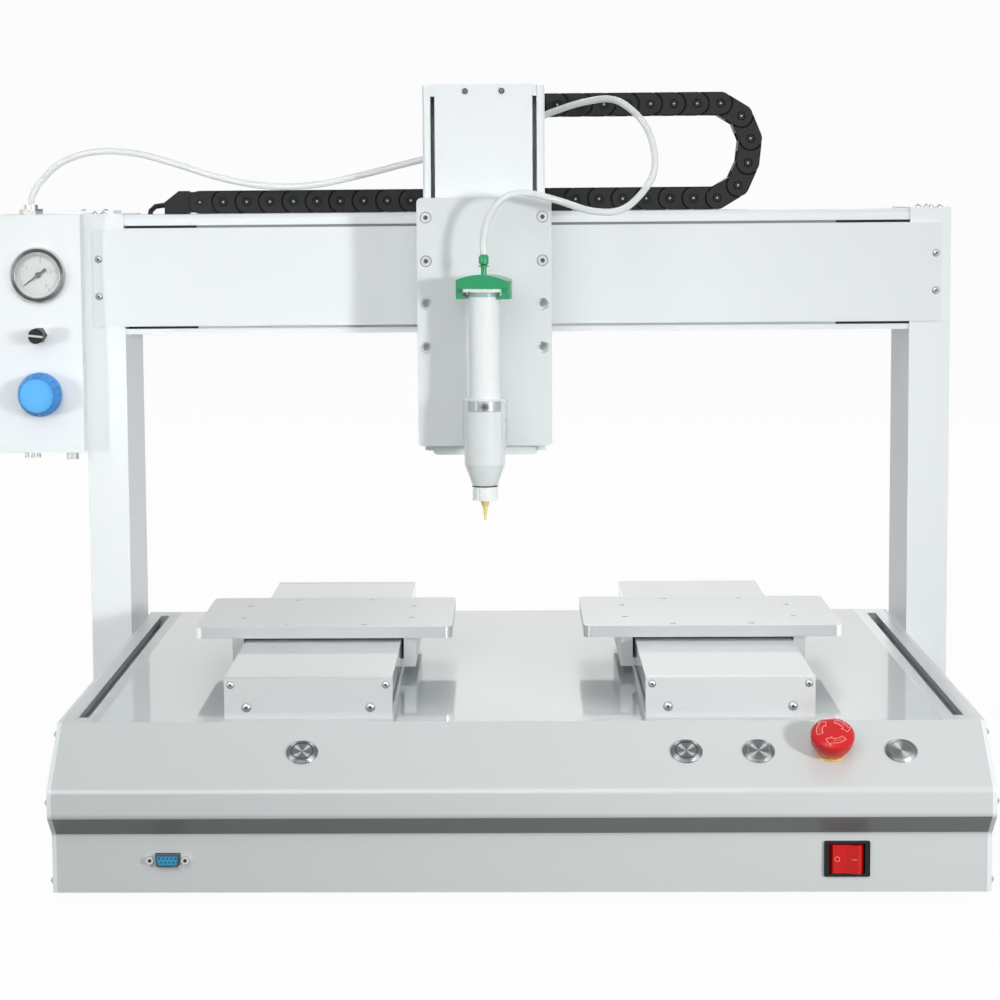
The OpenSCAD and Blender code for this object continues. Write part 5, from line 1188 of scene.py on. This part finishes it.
def frame_screws():
    """Each screw of the cabinet, the columns and the modules: its place and its socket."""
    for side in (-1, 1):
        for y, z in SIDE_PLATE_SCREWS:
            yield basis((0, 1, 0), (side, 0, 0), at(side * SIDE_PLATE_X, y, z)), SIDE_SOCKET
        for rise in (-BEAM_SCREW_RISE, BEAM_SCREW_RISE):
            yield facing_front(side * BEAM_SCREW_X, BEAM_COVER_FRONT, BEAM_MIDDLE_Z + rise), BEAM_SOCKET
        for x in CAP_SCREWS_X:
            for y in CAP_SCREWS_Y:
                yield facing_up(side * x, y, CAP_TOP), CAP_SOCKET
        for x, z, socket in END_PLATE_SCREWS:
            for s in (-1, 1):
                yield facing_front(side * MODULE_X + s * x, MODULE_END, z), socket
    for x in HANGER_SCREWS_X:
        yield facing_up(x, HANGER_Y, HANGER_TOP), HANGER_SOCKET


class DISPENSER_OT_screw_sockets(Operator):
    """Mark the sockets in the heads of the visible screws with painted shade"""

    bl_idname = "dispenser.screw_sockets"
    bl_label = "Screw sockets"

    def execute(self, context):
        bm = bmesh.new()
        for place, socket in frame_screws():
            hex_socket(bm, place, *socket)
        finished("screw_sockets", bm, "ring_grey", BASE, smooth=False)

        bm, rings = bmesh.new(), bmesh.new()
        for side in (-1, 1):
            spot = facing_front(HEAD_X + side * Z_COVER_SCREW_X, Z_COVER_FRONT, Z_COVER_SCREW_Z)
            hex_socket(bm, spot, *Z_COVER_SOCKET)
            ring(rings, spot, *Z_COVER_RING, 32)
        finished("cover_screw_rings", rings, "dark_metal", "x_head", smooth=False)
        finished("cover_screw_sockets", bm, "dark_gap", "x_head", smooth=False)

        rings, dark = bmesh.new(), bmesh.new()
        for side in (-1, 1):
            for z in PLATE_SCREWS_Z:
                spot = facing_front(HEAD_X + side * PLATE_SCREW_X, PLATE_FRONT, z)
                ring(rings, spot, *PLATE_RING, 40)
                ring(dark, spot, *PLATE_GAP, 40)
                hex_socket(dark, spot, *PLATE_SOCKET)
        clamp = facing_front(*CLAMP_SCREW)
        ring(dark, clamp, *CLAMP_RING, 40)
        hex_socket(dark, clamp, *CLAMP_SOCKET)
        finished("plate_screw_rings", rings, "bright_steel", "z_head", smooth=False)
        finished("plate_screw_sockets", dark, "ring_grey", "z_head", smooth=False)
        return {"FINISHED"}


# Dust strips in the beam's slots, in machine millimetres: name, low, top and finish
STRIPS = (("upper", 338.06, 340.14, "strip_grey"), ("lower", 255.36, 257.44, "strip_light"))
# From each end of the beam to STRIP_DARK a strip is dark; the upper strip's grey is painted shade in its
# slot
STRIP_END, STRIP_DARK, STRIP_ARM = 320.0, 262.0, 46.0
STRIP_FRONT, STRIP_MIDDLE, STRIP_BACK = 390.4, 390.7, 391.0


class DISPENSER_OT_dust_strips(Operator):
    """Close the beam's two slots with strips that run from the beam's ends to the carriage's arms"""

    bl_idname = "dispenser.dust_strips"
    bl_label = "Dust strips"

    def execute(self, context):
        place = Matrix.Translation(at(0, 0, 0)) @ Matrix.Scale(MM, 4)
        for level, low, high, shade in STRIPS:
            for side, word in ((-1, "left"), (1, "right")):
                end, dark_to, arm = side * STRIP_END, side * STRIP_DARK, HEAD_X + side * STRIP_ARM
                bm = bmesh.new()
                for first, last, index in ((end, dark_to, 1), (dark_to, arm, 0)):
                    left, right = sorted((first, last))
                    added = box(bm, place, left, right, STRIP_FRONT, STRIP_BACK, low, high)
                    give_material(added, index)
                strip = finished("dust_strip_%s_%s" % (level, word), bm, shade, None,
                                 smooth=False, extra=("dark_gap",))
                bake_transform(strip)
        return {"FINISHED"}


# Rings on the syringe, in metres: inner, outer, and low and high above the deck
SLEEVE_RING = (0.0094, 0.0101, 0.1354, 0.1364)
# Painted shade: a grey-green band on the barrel just below the green cap
BARREL_CAP_SHADE = (0.01240, 0.01256, 0.2842, 0.2880)


class DISPENSER_OT_syringe(Operator):
    """Add the dark ring under the sleeve, and on the barrel a grey-green band of painted shade below the
    cap
    """

    bl_idname = "dispenser.syringe"
    bl_label = "Syringe"

    def execute(self, context):
        axis = facing_up(HEAD_X, SYRINGE_Y, 0)
        bm = bmesh.new()
        ring(bm, axis, *SLEEVE_RING, 48)
        finished("sleeve_ring", bm, "mark_black", "z_head")
        bm = bmesh.new()
        ring(bm, axis, *BARREL_CAP_SHADE, 64)
        finished("barrel_band", bm, "band_green", "z_head")
        return {"FINISHED"}


# Studio, in metres: the backdrop's front, wall, bend, top and half width. The wall stands far enough
# back that a camera behind the machine is in front of it too
FLOOR_FRONT, WALL_Y, BEND, WALL_TOP, BACKDROP_HALF = -6.0, 6.0, 1.0, 6.0, 7.0
PAPER_GLOW, PAPER_SHARE = 1.34, 0.72
# Lamps: name, place, what it points at, size, spread in degrees and the setting that holds its power
LAMPS = (
    ("key_light", (1.5, -1.95, 0.56), (0.08, 0, 0.25), 0.22, 40, "key"),
    ("box_light", (-2.1, -1.85, 0.4), (-0.4, 0.1, 0.36), 0.2, 20, "box"),
    ("fill_light", (-0.5, -2.5, 1.5), (0, 0, 0.25), 1.8, 180, "fill"),
    ("back_light", (0.3, 3.2, 1.6), (0, 0.2, 0.3), 1.0, 180, "back"),
)
# The camera's place in machine millimetres, its turn, dip and roll in degrees, and its frame
CAMERA_PLACE = (-4.71, -1917.95, 367.24)
CAMERA_ANGLES = (-1.6807, 6.3148, 0.4955)
CAMERA_SHIFT, CAMERA_SENSOR, CAMERA_FAR = 0.0706, 36.0, 50


def seen_rays(tree):
    """1 for the rays that show the backdrop itself or its reflection, 0 for those that light."""
    path = tree.nodes.new("ShaderNodeLightPath").outputs
    mirrored = math_node(tree, "MAXIMUM", path["Is Glossy Ray"], path["Is Transmission Ray"])
    return math_node(tree, "MAXIMUM", path["Is Camera Ray"], mirrored)


def add_backdrop(scene):
    """Adds a floor that bends up into a wall, of paper that glows where it is seen."""
    bm = bmesh.new()
    bend = arc(WALL_Y - BEND, BEND, BEND, -90, 0, 10)
    profile = [(FLOOR_FRONT, 0.0), *bend, (WALL_Y, WALL_TOP)]
    rows = [[bm.verts.new((x, y, z)) for y, z in profile] for x in (-BACKDROP_HALF, BACKDROP_HALF)]
    for i in range(len(profile) - 1):
        bm.faces.new((rows[0][i], rows[0][i + 1], rows[1][i + 1], rows[1][i]))
    mesh = bpy.data.meshes.new("studio_sweep")
    bm.to_mesh(mesh)
    bm.free()
    mesh.shade_smooth()
    sweep = bpy.data.objects.new("studio_sweep", mesh)
    scene.collection.objects.link(sweep)

    material = bpy.data.materials.new("studio_paper")
    material.use_nodes = True
    tree = material.node_tree
    shader = tree.nodes["Principled BSDF"]
    shader.inputs["Base Color"].default_value = (0.1, 0.1, 0.1, 1)
    shader.inputs["Roughness"].default_value = 0.9
    shader.inputs["Specular IOR Level"].default_value = 0.1
    glow = tree.nodes.new("ShaderNodeEmission")
    glow.inputs["Color"].default_value = (1, 1, 1, 1)
    glow.inputs["Strength"].default_value = PAPER_GLOW
    mix = tree.nodes.new("ShaderNodeMixShader")
    tree.links.new(math_node(tree, "MULTIPLY", seen_rays(tree), PAPER_SHARE), mix.inputs[0])
    tree.links.new(shader.outputs[0], mix.inputs[1])
    tree.links.new(glow.outputs[0], mix.inputs[2])
    tree.links.new(mix.outputs[0], tree.nodes["Material Output"].inputs["Surface"])
    mesh.materials.append(material)


def add_sky(scene, sky):
    """Adds a white world that is bright where it is seen and lights with the strength sky."""
    world = bpy.data.worlds.new("studio_air")
    scene.world = world
    world.use_nodes = True
    air = world.node_tree
    background = air.nodes["Background"].inputs
    background["Color"].default_value = (1, 1, 1, 1)
    air.links.new(scaled(air, seen_rays(air), 1.0 - sky, sky), background["Strength"])


def add_lamp(scene, name, place, goal, size, spread, power):
    data = bpy.data.lights.new(name, "AREA")
    data.size = size
    data.spread = math.radians(spread)
    data.energy = power
    lamp = bpy.data.objects.new(name, data)
    lamp.location = place
    lamp.rotation_euler = (Vector(goal) - lamp.location).to_track_quat("-Z", "Y").to_euler()
    scene.collection.objects.link(lamp)


def add_camera(scene, lens):
    """Adds the camera where the photograph was taken from."""
    data = bpy.data.cameras.new("photo_camera")
    data.lens = lens
    data.sensor_width = CAMERA_SENSOR
    data.shift_x = CAMERA_SHIFT
    data.clip_end = CAMERA_FAR
    turn, dip, roll = (math.radians(v) for v in CAMERA_ANGLES)
    ahead = Vector((math.sin(turn) * math.cos(dip), math.cos(turn) * math.cos(dip), -math.sin(dip)))
    level = Vector((math.cos(turn), -math.sin(turn), 0))
    below = ahead.cross(level)
    right = level * math.cos(roll) + below * math.sin(roll)
    down = -level * math.sin(roll) + below * math.cos(roll)
    matrix = Matrix((right, -down, -ahead)).transposed().to_4x4()
    matrix.translation = at(*CAMERA_PLACE)
    camera = bpy.data.objects.new("photo_camera", data)
    camera.matrix_world = matrix
    scene.collection.objects.link(camera)
    scene.camera = camera


class DISPENSER_OT_stage(Operator):
    """Set the floor, the backdrop, the lights and the camera"""

    bl_idname = "dispenser.stage"
    bl_label = "Stage"

    def execute(self, context):
        stage = settings().stage
        scene = context.scene
        add_backdrop(scene)
        add_sky(scene, stage.sky)
        for name, place, goal, size, spread, setting in LAMPS:
            add_lamp(scene, name, place, goal, size, spread, getattr(stage, setting))
        add_camera(scene, stage.lens)
        scene.view_settings.view_transform = "Standard"
        return {"FINISHED"}


class DISPENSER_PT_panel(Panel):
    """Lists the pieces of the dispensing machine"""

    bl_idname = "DISPENSER_PT_panel"
    bl_label = "Dispensing machine"
    bl_space_type = "VIEW_3D"
    bl_region_type = "UI"
    bl_category = "Dispenser"

    def draw(self, context):
        column = self.layout.column(align=True)
        for operator in OPERATORS:
            column.operator(operator.bl_idname)
        for group in (settings().finish, settings().tube, settings().chain, settings().stage):
            box_layout = self.layout.box()
            for name in group.__annotations__:
                box_layout.prop(group, name)


OPERATORS = (
    DISPENSER_OT_finishes,
    DISPENSER_OT_stage,
    DISPENSER_OT_air_tube,
    DISPENSER_OT_energy_chain,
    DISPENSER_OT_gauge,
    DISPENSER_OT_controls,
    DISPENSER_OT_front_sockets,
    DISPENSER_OT_screw_sockets,
    DISPENSER_OT_dust_strips,
    DISPENSER_OT_syringe,
)
GROUPS = (FinishSettings, TubeSettings, ChainSettings, StageSettings, DispenserSettings)


def register():
    for group in GROUPS:
        bpy.utils.register_class(group)
    bpy.types.Scene.dispenser = PointerProperty(type=DispenserSettings)
    for operator in OPERATORS:
        bpy.utils.register_class(operator)
    bpy.utils.register_class(DISPENSER_PT_panel)


def unregister():
    bpy.utils.unregister_class(DISPENSER_PT_panel)
    for operator in reversed(OPERATORS):
        bpy.utils.unregister_class(operator)
    del bpy.types.Scene.dispenser
    for group in reversed(GROUPS):
        bpy.utils.unregister_class(group)


def main():
    register()
    for operator in OPERATORS:
        getattr(bpy.ops.dispenser, operator.bl_idname.split(".")[1])()


if __name__ == "__main__":
    main()
